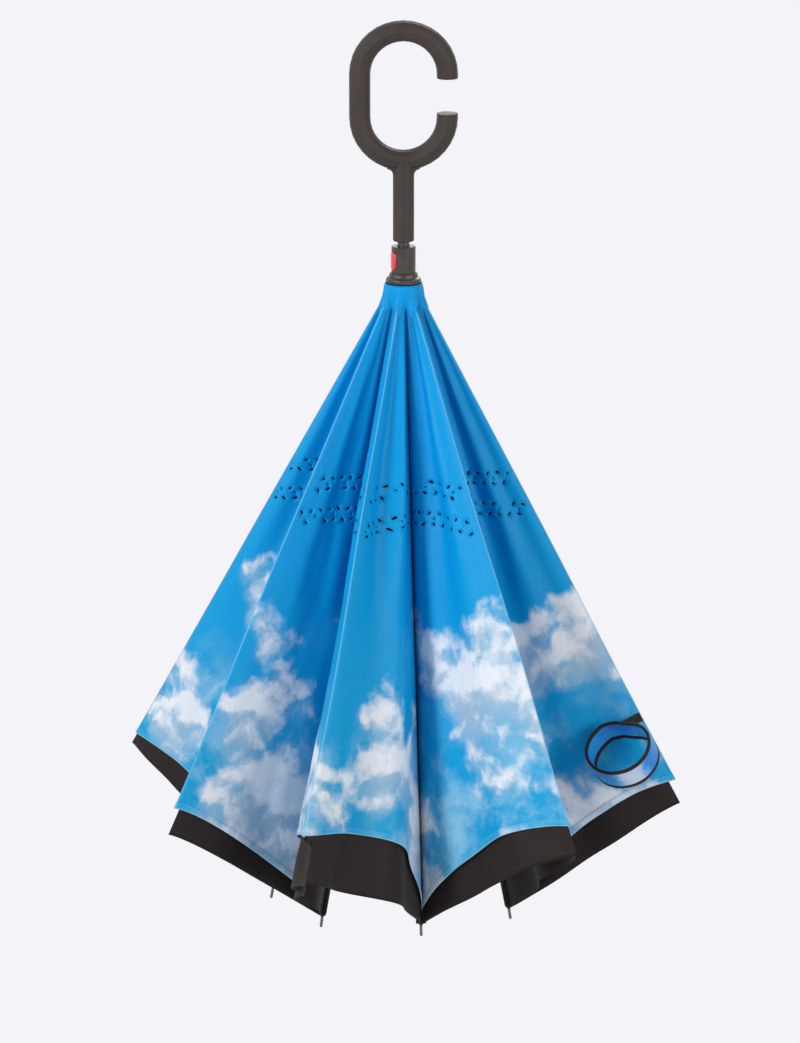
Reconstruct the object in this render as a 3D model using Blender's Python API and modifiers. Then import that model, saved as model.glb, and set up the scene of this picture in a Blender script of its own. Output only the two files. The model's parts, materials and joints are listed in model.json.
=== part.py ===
# A reverse-folding stick umbrella with a C-shaped handle, loosely folded, handle up.
# Lengths are in metres. The origin is the top of the inside of the handle's loop, where
# the umbrella hangs. +Z runs up the shaft, -Y faces the viewer, the loop's mouth faces +X.
# An azimuth is an angle about +Z from -Y towards +X.
# Folded, each half of a gore is a flat flap hinged on its rib, and the flaps of two
# neighbouring ribs meet in a fold between them. Opening lays the two flaps flat.

import math
from math import cos, pi, radians, sin, tan

import bmesh
import bpy
from mathutils import Matrix, Vector

# Clearances between pieces
TOUCH_GAP = 0.0003
RUNNING_GAP = 0.0005
CUT_OVERRUN = 0.002
MERGE = 0.00001

# Counts and facets
RIB_COUNT = 8
FIRST_RIB_AZIMUTH = radians(7.5)
ROUND_STEPS = 28
ROD_STEPS = 8
HEM_STEPS = 5

# Shaft, a steel tube
SHAFT_RADIUS = 0.00525
SHAFT_WALL = 0.0007

# Handle, a C-shaped loop on a stem
LOOP_TUBE_RADIUS = 0.0093
LOOP_INNER_WIDTH = 0.058
LOOP_STRAIGHT = 0.038
LOOP_MOUTH = 0.031
LOOP_END_ROUND = 0.0008
LOOP_ARC_STEPS = 18
LOOP_BEVEL_STEPS = 4
STEM_RADIUS = 0.0093
STEM_LENGTH = 0.0627
STEM_FILLET = 0.005
STEM_WEB_SHARE = 0.6
STEM_SOCKET_DEPTH = 0.048
STEM_CHAMFER = 0.0006

# Runner: housing with the release button, collar over the canopy, hub for the ribs
RUNNER_PARK_GAP = 0.0048
HOUSING_RADIUS = 0.01065
HOUSING_LENGTH = 0.0232
HOUSING_CHAMFER = 0.0007
COLLAR_HEIGHT = 0.0095
COLLAR_TOP_RADIUS = 0.0123
COLLAR_RADIUS = 0.0155
COLLAR_STEP_SHARE = 0.42
COLLAR_ROUND = 0.0011
HUB_RADIUS = 0.0125
HUB_PIVOT_RADIUS = 0.010
HUB_PIVOT_DROP = 0.007
HUB_BELOW_PIVOT = 0.0075
HUB_SLOT_HEADROOM = 0.0045

# Release button and the leaf spring behind it
BUTTON_AZIMUTH = radians(-60.0)
BUTTON_LENGTH = 0.0162
BUTTON_WIDTH = 0.0078
BUTTON_DEPTH = 0.0026
BUTTON_PROUD = 0.0008
BUTTON_DROP = 0.0125
BUTTON_TRAVEL = 0.0019
SPRING_WIDTH = 0.003
SPRING_THICKNESS = 0.0003
SPRING_LENGTH = 0.011
SPRING_STEPS = 8
CORNER_STEPS = 6

# Ribs, round rods with a metal tip
RIB_LENGTH = 0.5705
RIB_RADIUS = 0.0017
TIP_SLEEVE_RADIUS = 0.0020
TIP_SLEEVE_LENGTH = 0.014
TIP_LENGTH = 0.026
TIP_RADIUS = 0.0013
ROUND_SHARE = 0.7
FOLDED_RIB_ANGLE = radians(11.2)
OPEN_RIB_ANGLE = radians(120.5)

# Stretchers, forked over the ribs
STRETCHER_REACH = 0.25
OPEN_PIVOT_SPACING = 0.030
STRETCHER_DEPTH = 0.0032
TONGUE_WIDTH = 0.0024
TONGUE_LENGTH = 0.018
FORK_LENGTH = 0.085
FORK_LEG = 0.001
FORK_TAIL = 0.002

# Notch and ferrule at the far end of the shaft
NOTCH_PIVOT_RADIUS = 0.0085
NOTCH_RADIUS = 0.011
NOTCH_ABOVE_PIVOT = 0.004
NOTCH_BELOW_PIVOT = 0.006
NOTCH_SLOT_FLOOR = 0.0026
FERRULE_RADIUS = 0.0072
FERRULE_TIP_RADIUS = 0.0048
FERRULE_LENGTH = 0.026
FERRULE_SOCKET_DEPTH = 0.010
FERRULE_ROUND = 0.0015

# Canopy fabric: an inner layer outside the folded ribs, an outer layer inside them, and
# the outer layer's crown between the stretchers
FABRIC_THICKNESS = 0.0004
FOLD_GAP = 0.0003
# The folds stay this far apart, so that the runner can take up its play at the top
FOLD_PLAY = 0.0028
INNER_TOP = 0.012
INNER_HEM_AT_RIB = 0.548
INNER_HEM_AT_FOLD = 0.490
OUTER_HEM_AT_RIB = 0.560
OUTER_HEM_AT_FOLD = 0.515
CROWN_TOP = 0.016
CROWN_JOIN = 0.025
FORK_WINDOW_TOP = 0.10
FORK_WINDOW_BOTTOM = 0.256
FORK_WINDOW_WIDTH = 0.0052

# Tie strap, a band closed into a loop on one flap, and the tab that holds it
STRAP_RIB = 1
STRAP_ALONG = 0.411
STRAP_ACROSS = 0.122
STRAP_LOOP_RADIUS = 0.031
STRAP_WIDTH = 0.016
STRAP_THICKNESS = 0.0012
STRAP_LEAN = radians(41.0)
TAB_LENGTH = 0.014
TAB_WIDTH = 0.009
TAB_THICKNESS = 0.0010

UP = Vector((0.0, 0.0, 1.0))
GORE_HALF_AZIMUTH = pi / RIB_COUNT

# Levels, from the top of the loop's inside downwards
LOOP_INNER_HEIGHT = LOOP_INNER_WIDTH + LOOP_STRAIGHT
LOOP_CENTRE_RADIUS = LOOP_INNER_WIDTH / 2 + LOOP_TUBE_RADIUS
LOOP_LOWER_LINE = -LOOP_INNER_HEIGHT - LOOP_TUBE_RADIUS
STEM_TOP = LOOP_LOWER_LINE - LOOP_TUBE_RADIUS
STEM_BOTTOM = STEM_TOP - STEM_LENGTH
SHAFT_TOP = STEM_BOTTOM + STEM_SOCKET_DEPTH - TOUCH_GAP
HOUSING_TOP = STEM_BOTTOM - RUNNER_PARK_GAP
COLLAR_TOP = HOUSING_TOP - HOUSING_LENGTH - TOUCH_GAP
COLLAR_BOTTOM = COLLAR_TOP - COLLAR_HEIGHT
HUB_TOP = COLLAR_BOTTOM - TOUCH_GAP
RIB_PIVOT_LEVEL = COLLAR_BOTTOM - HUB_PIVOT_DROP
HUB_BOTTOM = RIB_PIVOT_LEVEL - HUB_BELOW_PIVOT
BORE_RADIUS = SHAFT_RADIUS + RUNNING_GAP

# Linkage. Runner, rib, stretcher and notch form a four-bar loop in each radial plane,
# with the stretcher's length set by where it meets the rib when the canopy is open.
PIVOT_STEP = HUB_PIVOT_RADIUS - NOTCH_PIVOT_RADIUS
OPEN_JOINT_OUT = PIVOT_STEP + STRETCHER_REACH * sin(OPEN_RIB_ANGLE)
OPEN_JOINT_UP = OPEN_PIVOT_SPACING - STRETCHER_REACH * cos(OPEN_RIB_ANGLE)
STRETCHER_LENGTH = math.hypot(OPEN_JOINT_OUT, OPEN_JOINT_UP)
FOLDED_JOINT_OUT = PIVOT_STEP + STRETCHER_REACH * sin(FOLDED_RIB_ANGLE)
FOLDED_JOINT_UP = math.sqrt(STRETCHER_LENGTH ** 2 - FOLDED_JOINT_OUT ** 2)
FOLDED_PIVOT_SPACING = STRETCHER_REACH * cos(FOLDED_RIB_ANGLE) + FOLDED_JOINT_UP
RUNNER_TRAVEL = FOLDED_PIVOT_SPACING - OPEN_PIVOT_SPACING
FOLDED_STRETCHER_ANGLE = math.atan2(FOLDED_JOINT_OUT, FOLDED_JOINT_UP)
OPEN_STRETCHER_ANGLE = math.atan2(OPEN_JOINT_OUT, OPEN_JOINT_UP)
NOTCH_PIVOT_LEVEL = RIB_PIVOT_LEVEL - FOLDED_PIVOT_SPACING
NOTCH_BOTTOM = NOTCH_PIVOT_LEVEL - NOTCH_BELOW_PIVOT
FERRULE_TOP = NOTCH_BOTTOM - TOUCH_GAP
SHAFT_BOTTOM = FERRULE_TOP - FERRULE_SOCKET_DEPTH + TOUCH_GAP
FORK_GAP = RIB_RADIUS + RUNNING_GAP


def gore_half_angle(open_angle):
    """Half of a gore's angle in the flat cloth, which makes it taut when open."""
    return math.asin(sin(open_angle) * sin(GORE_HALF_AZIMUTH))


def open_fold_line(pivot_radius, seat, opened):
    """Where the open canopy folds, halfway between two rods, in the plane of a flap: the
    distance across at the pivot, and its growth with the distance along the rod."""
    growth = tan(gore_half_angle(opened))
    return (pivot_radius + seat * cos(opened)) / sin(opened) * growth, growth


def folded_flap_angle(pivot_radius, seat, folded, opened, reach, room):
    """Angle of a folded flap from its rod's radial plane. It lays the flap's fold, at a
    reach along the rod, halfway to the next rod, with some room left."""
    start, growth = open_fold_line(pivot_radius, seat, opened)
    width = start + growth * reach
    radius = pivot_radius + seat * cos(folded) + reach * sin(folded)
    halfway = radius * sin(GORE_HALF_AZIMUTH) - room
    outward = cos(folded) * sin(GORE_HALF_AZIMUTH)
    sideways = cos(GORE_HALF_AZIMUTH)
    return math.asin(halfway / width / math.hypot(sideways, outward)) + math.atan2(outward, sideways)


def open_flap_angle(opened):
    """Angle of a flap from its rod's radial plane when the gore is flat."""
    return math.atan2(cos(GORE_HALF_AZIMUTH), -cos(opened) * sin(GORE_HALF_AZIMUTH))


# The flaps of a rod hinge on a seam that lies at its seat, a distance out from the axis
LAYER_SPACING = FABRIC_THICKNESS + TOUCH_GAP
RIB_SEAT = TIP_SLEEVE_RADIUS + TOUCH_GAP + FABRIC_THICKNESS / 2
RIB_GORE = gore_half_angle(OPEN_RIB_ANGLE)
HEM_REACH = INNER_HEM_AT_FOLD * cos(RIB_GORE)
RIB_FLAP_ANGLE = folded_flap_angle(
    HUB_PIVOT_RADIUS, RIB_SEAT, FOLDED_RIB_ANGLE, OPEN_RIB_ANGLE, HEM_REACH, LAYER_SPACING + FOLD_PLAY
)
RIB_FLAP_OPEN_ANGLE = open_flap_angle(OPEN_RIB_ANGLE)
CROWN_SEAT = STRETCHER_DEPTH / 2 + TOUCH_GAP + FABRIC_THICKNESS
CROWN_END = STRETCHER_LENGTH - CROWN_JOIN
CROWN_GORE = gore_half_angle(OPEN_STRETCHER_ANGLE)
CROWN_FLAP_ANGLE = folded_flap_angle(
    NOTCH_PIVOT_RADIUS, CROWN_SEAT, FOLDED_STRETCHER_ANGLE, OPEN_STRETCHER_ANGLE, CROWN_END, LAYER_SPACING
)

# The outer layer clears the rib at its seam and closes on the inner layer at its hem
ROD_SPACING = RIB_SEAT * sin(RIB_FLAP_OPEN_ANGLE) + RIB_SEAT
OUTER_HEM_WIDTH = OUTER_HEM_AT_FOLD * sin(RIB_GORE)
LAYER_TILT = math.atan((ROD_SPACING - LAYER_SPACING) / OUTER_HEM_WIDTH)


def remove_all():
    for obj in list(bpy.data.objects):
        bpy.data.objects.remove(obj, do_unlink=True)


def new_collection(name):
    collection = bpy.data.collections.new(name)
    bpy.context.scene.collection.children.link(collection)
    return collection


def new_material(name, colour, roughness, metallic=0.0):
    material = bpy.data.materials.new(name)
    material.use_nodes = True
    shader = material.node_tree.nodes["Principled BSDF"]
    shader.inputs["Base Color"].default_value = (*colour, 1.0)
    shader.inputs["Roughness"].default_value = roughness
    shader.inputs["Metallic"].default_value = metallic
    material.diffuse_color = (*colour, 1.0)
    return material


def new_object(name, data, collection, material=None, place=None):
    obj = bpy.data.objects.new(name, data)
    collection.objects.link(obj)
    if place is not None:
        obj.matrix_world = place
    if material is not None and not data.materials:
        data.materials.append(material)
    return obj


def make_cutter(obj):
    obj.hide_render = True
    obj.display_type = "WIRE"
    return obj


def evaluated_mesh(obj, name):
    """The object's mesh with its modifiers, or a curve's tube, with its caps welded."""
    depsgraph = bpy.context.evaluated_depsgraph_get()
    depsgraph.update()
    mesh = bpy.data.meshes.new_from_object(obj.evaluated_get(depsgraph), depsgraph=depsgraph)
    mesh.name = name
    work = bmesh.new()
    work.from_mesh(mesh)
    bmesh.ops.remove_doubles(work, verts=work.verts, dist=MERGE)
    bmesh.ops.recalc_face_normals(work, faces=work.faces)
    work.to_mesh(mesh)
    work.free()
    return mesh


def curve_to_mesh(obj, collection, material=None):
    """Replaces a curve object by the welded mesh of its tube or its plate."""
    mesh = evaluated_mesh(obj, obj.name)
    place = obj.matrix_world.copy()
    name = obj.name
    bpy.data.objects.remove(obj, do_unlink=True)
    return new_object(name, mesh, collection, material, place)


def shade(mesh, angle=radians(35.0)):
    mesh.shade_smooth()
    mesh.set_sharp_from_angle(angle=angle)


def turned(name, profile, collection, material=None, place=None, steps=ROUND_STEPS, closed=True):
    """A turned shape about local Z. The profile holds (radius, level) pairs and runs
    down its outer side, top to bottom."""
    mesh = bpy.data.meshes.new(name)
    points = [(radius, 0.0, level) for radius, level in profile]
    edges = [(index, index + 1) for index in range(len(points) - 1)]
    if closed:
        edges.append((len(points) - 1, 0))
    mesh.from_pydata(points, edges, [])
    obj = new_object(name, mesh, collection, material, place)
    screw = obj.modifiers.new("turn", "SCREW")
    screw.axis = "Z"
    screw.steps = steps
    screw.render_steps = steps
    screw.use_merge_vertices = True
    screw.merge_threshold = MERGE
    screw.use_smooth_shade = True
    return obj


def plate(name, outline, thickness, collection, material=None, place=None):
    """A flat plate of the given outline in local XY, centred on its thickness."""
    curve = bpy.data.curves.new(name, "CURVE")
    curve.dimensions = "2D"
    curve.fill_mode = "BOTH"
    curve.extrude = thickness / 2
    spline = curve.splines.new("POLY")
    spline.points.add(len(outline) - 1)
    for point, (x, y) in zip(spline.points, outline):
        point.co = (x, y, 0.0, 1.0)
    spline.use_cyclic_u = True
    obj = new_object(name, curve, collection, None, place)
    return curve_to_mesh(obj, collection, material)


def stadium(length, width):
    """Outline of a slot with round ends, its length along X."""
    radius = width / 2
    centre = length / 2 - radius
    points = []
    for end in (0.0, pi):
        for step in range(CORNER_STEPS + 1):
            angle = end - pi / 2 + pi * step / CORNER_STEPS
            points.append((math.copysign(centre, cos(end)) + radius * cos(angle), radius * sin(angle)))
    return points


def cut(target, cutter, operation="DIFFERENCE"):
    boolean = target.modifiers.new("cut", "BOOLEAN")
    boolean.operation = operation
    boolean.solver = "EXACT"
    boolean.object = cutter


def frame(origin, x_axis, y_axis):
    """A place with the given axes, local Z being X cross Y."""
    z_axis = x_axis.cross(y_axis)
    rotation = Matrix((x_axis, y_axis, z_axis)).transposed()
    return Matrix.Translation(origin) @ rotation.to_4x4()


def radial(azimuth):
    return Vector((sin(azimuth), -cos(azimuth), 0.0))


def tangent(azimuth):
    return Vector((cos(azimuth), sin(azimuth), 0.0))


def rib_azimuth(index):
    return FIRST_RIB_AZIMUTH + index * 2 * GORE_HALF_AZIMUTH


def rib_lines(azimuth, spread=FOLDED_RIB_ANGLE):
    """Pivot, direction and outward normal of a rib."""
    pivot = radial(azimuth) * HUB_PIVOT_RADIUS + UP * RIB_PIVOT_LEVEL
    along = radial(azimuth) * sin(spread) - UP * cos(spread)
    outward = radial(azimuth) * cos(spread) + UP * sin(spread)
    return pivot, along, outward


def stretcher_lines(azimuth):
    """Pivot, direction and outward normal of a folded stretcher."""
    pivot = radial(azimuth) * NOTCH_PIVOT_RADIUS + UP * NOTCH_PIVOT_LEVEL
    along = radial(azimuth) * sin(FOLDED_STRETCHER_ANGLE) + UP * cos(FOLDED_STRETCHER_ANGLE)
    outward = radial(azimuth) * cos(FOLDED_STRETCHER_ANGLE) - UP * sin(FOLDED_STRETCHER_ANGLE)
    return pivot, along, outward


def flap_place(lines, seat, azimuth, side, flap_angle):
    """Place of a flap: local X runs along its seam and local Y across to the fold."""
    pivot, along, outward = lines
    across = tangent(azimuth) * side * sin(flap_angle) + outward * cos(flap_angle)
    return frame(pivot + outward * seat, along, across)


def inner_place(azimuth, side, opened=False):
    spread = OPEN_RIB_ANGLE if opened else FOLDED_RIB_ANGLE
    flap_angle = RIB_FLAP_OPEN_ANGLE if opened else RIB_FLAP_ANGLE
    return flap_place(rib_lines(azimuth, spread), RIB_SEAT, azimuth, side, flap_angle)


def outer_place(azimuth, side, opened=False):
    drop = Matrix.Translation((0.0, 0.0, -side * ROD_SPACING))
    return inner_place(azimuth, side, opened) @ drop @ Matrix.Rotation(side * LAYER_TILT, 4, "X")


def halfway_line(place, azimuth, side):
    """Where a flap's plane meets the plane halfway to the next rib: the distance across
    at the pivot, and its growth with the distance along."""
    halfway = tangent(azimuth + side * GORE_HALF_AZIMUTH)
    across = place.col[1].xyz.dot(halfway)
    return -place.translation.dot(halfway) / across, -place.col[0].xyz.dot(halfway) / across


def edge_margin(place, normal):
    """How far the flap's edge stays back from a plane with that normal."""
    thickness = FABRIC_THICKNESS / 2 * abs(place.col[2].xyz.dot(normal))
    return (FOLD_GAP / 2 + thickness) / abs(place.col[1].xyz.dot(normal))


def rod_edge(place, azimuth, side):
    """Where a flap starts beside its rod's radial plane."""
    rod_plane = tangent(azimuth) * side
    return edge_margin(place, rod_plane) - place.translation.dot(rod_plane) / place.col[1].xyz.dot(rod_plane)


def hem_point(share, start, growth, at_rib, at_fold):
    """Point of a scalloped hem in a flap, from the fold, share 0, to the rib, share 1.
    The hem leaves the fold square to it and runs down to a point at the rib."""
    slant = math.atan(growth)
    corner_level = at_rib * cos(slant) - start * sin(slant)
    corner_width = at_rib * sin(slant) + start * cos(slant)
    level = at_fold + (corner_level - at_fold) * share ** 2
    width = corner_width * share
    along = level * cos(slant) + width * sin(slant)
    across = start + level * sin(slant) - width * cos(slant)
    return along, across


def flap_outline(place_at, azimuth, side, top, at_rib, at_fold, window):
    """Outline of a flap between its rod and its fold, from its top to its hem. It stays
    back from the halfway plane and the rod's plane, both folded and open. A window along
    the rod lets the stretcher's fork pass."""
    places = [place_at(azimuth, side, opened) for opened in (False, True)]
    normal = tangent(azimuth + side * GORE_HALF_AZIMUTH)
    limits = [(*halfway_line(place, azimuth, side), edge_margin(place, normal)) for place in places]
    start, growth, _ = limits[1]
    edge = max(rod_edge(place, azimuth, side) for place in places)

    def fold_at(along, across):
        return min([across] + [first + rise * along - margin for first, rise, margin in limits])

    points = [(top, edge)]
    if window:
        high, low, width = window
        points += [(high, edge), (high, width), (low, width), (low, edge)]
    for step in range(HEM_STEPS, -1, -1):
        along, across = hem_point(step / HEM_STEPS, start, growth, at_rib, at_fold)
        points.append((along, max(fold_at(along, across), edge)))
    if limits[0][1] < growth:
        meeting = (limits[1][0] - limits[0][0]) / (limits[0][1] - growth)
        if top < meeting < points[-1][0]:
            points.append((meeting, fold_at(meeting, start + growth * meeting)))
    points.append((top, fold_at(top, start + growth * top)))
    return points


def make_handle(parts, cutters, material):
    """The loop, a round bar bent to a C, on its turned stem."""
    half_mouth = LOOP_MOUTH / 2
    middle = -LOOP_INNER_HEIGHT / 2
    upper = -LOOP_INNER_WIDTH / 2
    lower = upper - LOOP_STRAIGHT
    points = [(LOOP_CENTRE_RADIUS, middle + half_mouth)]
    for step in range(LOOP_ARC_STEPS + 1):
        angle = pi * step / LOOP_ARC_STEPS
        points.append((LOOP_CENTRE_RADIUS * cos(angle), upper + LOOP_CENTRE_RADIUS * sin(angle)))
    for step in range(LOOP_ARC_STEPS + 1):
        angle = pi + pi * step / LOOP_ARC_STEPS
        points.append((LOOP_CENTRE_RADIUS * cos(angle), lower + LOOP_CENTRE_RADIUS * sin(angle)))
    points.append((LOOP_CENTRE_RADIUS, middle - half_mouth))

    curve = bpy.data.curves.new("handle_loop", "CURVE")
    curve.dimensions = "3D"
    curve.bevel_depth = LOOP_TUBE_RADIUS
    curve.bevel_resolution = LOOP_BEVEL_STEPS
    curve.use_fill_caps = True
    spline = curve.splines.new("POLY")
    spline.points.add(len(points) - 1)
    for point, (x, z) in zip(spline.points, points):
        point.co = (x, 0.0, z, 1.0)
    loop = new_object("handle", curve, parts)
    handle = curve_to_mesh(loop, parts, material)
    shade(handle.data)

    socket = SHAFT_RADIUS + TOUCH_GAP
    blind = STEM_BOTTOM + STEM_SOCKET_DEPTH
    profile = [
        (0.0, LOOP_LOWER_LINE),
        (STEM_RADIUS, LOOP_LOWER_LINE),
        (STEM_RADIUS, STEM_BOTTOM + STEM_CHAMFER),
        (STEM_RADIUS - STEM_CHAMFER, STEM_BOTTOM),
        (socket, STEM_BOTTOM),
        (socket, blind),
        (0.0, blind),
    ]
    cut(handle, make_cutter(turned("handle_stem", profile, cutters, closed=False)), "UNION")

    flare = STEM_RADIUS + STEM_FILLET
    outer = LOOP_CENTRE_RADIUS + LOOP_TUBE_RADIUS
    rise = outer - math.sqrt(outer ** 2 - flare ** 2)
    side = []
    for step in range(CORNER_STEPS + 1):
        angle = pi / 2 * step / CORNER_STEPS
        drop = STEM_FILLET * (1 - cos(angle))
        side.append((flare - STEM_FILLET * sin(angle), rise - drop))
    web = [(-flare, LOOP_TUBE_RADIUS), (flare, LOOP_TUBE_RADIUS)] + side
    web += [(-x, y) for x, y in reversed(side)]
    web_place = frame(UP * STEM_TOP, Vector((1.0, 0.0, 0.0)), UP)
    web_thickness = 2 * STEM_RADIUS * STEM_WEB_SHARE
    cut(handle, make_cutter(plate("stem_web", web, web_thickness, cutters, None, web_place)), "UNION")


def make_shaft(parts, material):
    inner = SHAFT_RADIUS - SHAFT_WALL
    profile = [(SHAFT_RADIUS, SHAFT_TOP), (SHAFT_RADIUS, SHAFT_BOTTOM), (inner, SHAFT_BOTTOM), (inner, SHAFT_TOP)]
    turned("shaft", profile, parts, material)


def make_slots(name, cutters, pivot_radius, inner, outer, width, low, high):
    """One cutter for all the slots of a ring, one box for each rib."""
    mesh = bpy.data.meshes.new(name)
    work = bmesh.new()
    centre = pivot_radius - inner + outer
    length = centre - pivot_radius + inner
    for index in range(RIB_COUNT):
        azimuth = rib_azimuth(index)
        middle = radial(azimuth) * (pivot_radius - inner + length / 2) + UP * (low + high) / 2
        size = Matrix.Diagonal((length, width, high - low, 1.0))
        bmesh.ops.create_cube(work, size=1.0, matrix=frame(middle, radial(azimuth), tangent(azimuth)) @ size)
    work.to_mesh(mesh)
    work.free()
    return make_cutter(new_object(name, mesh, cutters))


def make_runner(parts, cutters, plastic, red, steel):
    """Housing, collar, hub, release button and its spring. The housing's pocket is as
    deep as the button's depth, its travel and its spring need."""
    bottom = HOUSING_TOP - HOUSING_LENGTH
    rim = HOUSING_RADIUS - HOUSING_CHAMFER
    profile = [
        (rim, HOUSING_TOP),
        (HOUSING_RADIUS, HOUSING_TOP - HOUSING_CHAMFER),
        (HOUSING_RADIUS, bottom),
        (BORE_RADIUS, bottom),
        (BORE_RADIUS, HOUSING_TOP),
    ]
    housing = turned("runner_housing", profile, parts, plastic)

    outward = radial(BUTTON_AZIMUTH)
    face = HOUSING_RADIUS + BUTTON_PROUD
    level = UP * (HOUSING_TOP - BUTTON_DROP)
    back = face - BUTTON_DEPTH
    floor = back - BUTTON_TRAVEL - SPRING_THICKNESS - TOUCH_GAP
    axes = (UP, tangent(BUTTON_AZIMUTH) * -1)
    pocket_depth = face - floor + CUT_OVERRUN
    pocket_place = frame(outward * (floor + pocket_depth / 2) + level, *axes)
    grow = 2 * TOUCH_GAP
    pocket = plate(
        "button_pocket", stadium(BUTTON_LENGTH + grow, BUTTON_WIDTH + grow), pocket_depth, cutters, None, pocket_place
    )
    cut(housing, make_cutter(pocket))

    blank_depth = BUTTON_DEPTH + CUT_OVERRUN
    blank_place = frame(outward * (back + blank_depth / 2) + level, *axes)
    button = plate("release_button", stadium(BUTTON_LENGTH, BUTTON_WIDTH), blank_depth, parts, red, blank_place)
    crown_top = HOUSING_TOP + CUT_OVERRUN
    crown = [(0.0, crown_top), (face, crown_top), (face, bottom), (0.0, bottom)]
    cut(button, make_cutter(turned("button_crown", crown, cutters, closed=False)), "INTERSECT")

    half = SPRING_LENGTH / 2
    bow = BUTTON_TRAVEL - TOUCH_GAP
    upper = []
    lower = []
    for step in range(SPRING_STEPS + 1):
        along = -half + SPRING_LENGTH * step / SPRING_STEPS
        rise = bow * cos(pi / 2 * along / half)
        lower.append((along, rise))
        upper.append((along, rise + SPRING_THICKNESS))
    spring_place = frame(outward * (floor + TOUCH_GAP) + level, UP, outward)
    plate("button_spring", lower + upper[::-1], SPRING_WIDTH, parts, steel, spring_place)

    step_level = COLLAR_TOP - COLLAR_HEIGHT * COLLAR_STEP_SHARE
    neck = COLLAR_TOP_RADIUS - COLLAR_ROUND
    waist = (COLLAR_TOP_RADIUS + COLLAR_RADIUS) / 2 - COLLAR_ROUND
    profile = [
        (neck, COLLAR_TOP),
        (COLLAR_TOP_RADIUS, COLLAR_TOP - COLLAR_ROUND),
        (COLLAR_TOP_RADIUS + COLLAR_ROUND / 2, step_level + COLLAR_ROUND / 2),
        (waist, step_level),
        (COLLAR_RADIUS - COLLAR_ROUND / 2, step_level - COLLAR_ROUND),
        (COLLAR_RADIUS, step_level - 2 * COLLAR_ROUND),
        (COLLAR_RADIUS, COLLAR_BOTTOM + COLLAR_ROUND),
        (COLLAR_RADIUS - COLLAR_ROUND, COLLAR_BOTTOM),
        (BORE_RADIUS, COLLAR_BOTTOM),
        (BORE_RADIUS, COLLAR_TOP),
    ]
    turned("canopy_collar", profile, parts, plastic)

    profile = [(HUB_RADIUS, HUB_TOP), (HUB_RADIUS, HUB_BOTTOM), (BORE_RADIUS, HUB_BOTTOM), (BORE_RADIUS, HUB_TOP)]
    hub = turned("rib_hub", profile, parts, plastic)
    width = 2 * (RIB_RADIUS + TOUCH_GAP)
    slots = make_slots(
        "hub_slots",
        cutters,
        HUB_PIVOT_RADIUS,
        RIB_RADIUS + RUNNING_GAP,
        HUB_RADIUS + CUT_OVERRUN,
        width,
        HUB_BOTTOM - CUT_OVERRUN,
        RIB_PIVOT_LEVEL + HUB_SLOT_HEADROOM,
    )
    cut(hub, slots)


def make_ribs(parts, material):
    """Rods with a round root at the pivot and a sleeved metal tip."""
    sleeve = RIB_LENGTH - TIP_LENGTH
    taper = sleeve + TIP_SLEEVE_LENGTH
    profile = [
        (0.0, RIB_LENGTH),
        (TIP_RADIUS * ROUND_SHARE, RIB_LENGTH - TIP_RADIUS * (1 - ROUND_SHARE)),
        (TIP_RADIUS, RIB_LENGTH - TIP_RADIUS),
        (TIP_RADIUS, taper + TIP_RADIUS),
        (TIP_SLEEVE_RADIUS, taper),
        (TIP_SLEEVE_RADIUS, sleeve),
        (RIB_RADIUS, sleeve - TIP_RADIUS),
        (RIB_RADIUS, 0.0),
        (RIB_RADIUS * ROUND_SHARE, -RIB_RADIUS * ROUND_SHARE),
        (0.0, -RIB_RADIUS),
    ]
    for index in range(RIB_COUNT):
        azimuth = rib_azimuth(index)
        pivot, _, outward = rib_lines(azimuth)
        place = frame(pivot, outward, -tangent(azimuth))
        turned(f"rib_{index + 1}", profile, parts, material, place, ROD_STEPS, closed=False)


def make_stretchers(parts, material):
    """A flat bar with a narrow tongue in the notch and a long fork over the rib."""
    tongue = TONGUE_WIDTH / 2
    leg_outer = FORK_GAP + FORK_LEG
    end = STRETCHER_LENGTH + FORK_TAIL
    crotch = STRETCHER_LENGTH - FORK_LENGTH
    side = [
        (-tongue, tongue),
        (TONGUE_LENGTH, tongue),
        (TONGUE_LENGTH + leg_outer, leg_outer),
        (end, leg_outer),
        (end, FORK_GAP),
        (crotch + FORK_GAP, FORK_GAP),
    ]
    outline = side + [(crotch, 0.0)] + [(x, -y) for x, y in reversed(side)]
    shared = None
    for index in range(RIB_COUNT):
        azimuth = rib_azimuth(index)
        pivot, along, _ = stretcher_lines(azimuth)
        place = frame(pivot, along, tangent(azimuth))
        name = f"stretcher_{index + 1}"
        if shared is None:
            shared = plate(name, outline, STRETCHER_DEPTH, parts, material, place).data
        else:
            new_object(name, shared, parts, None, place)


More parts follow.
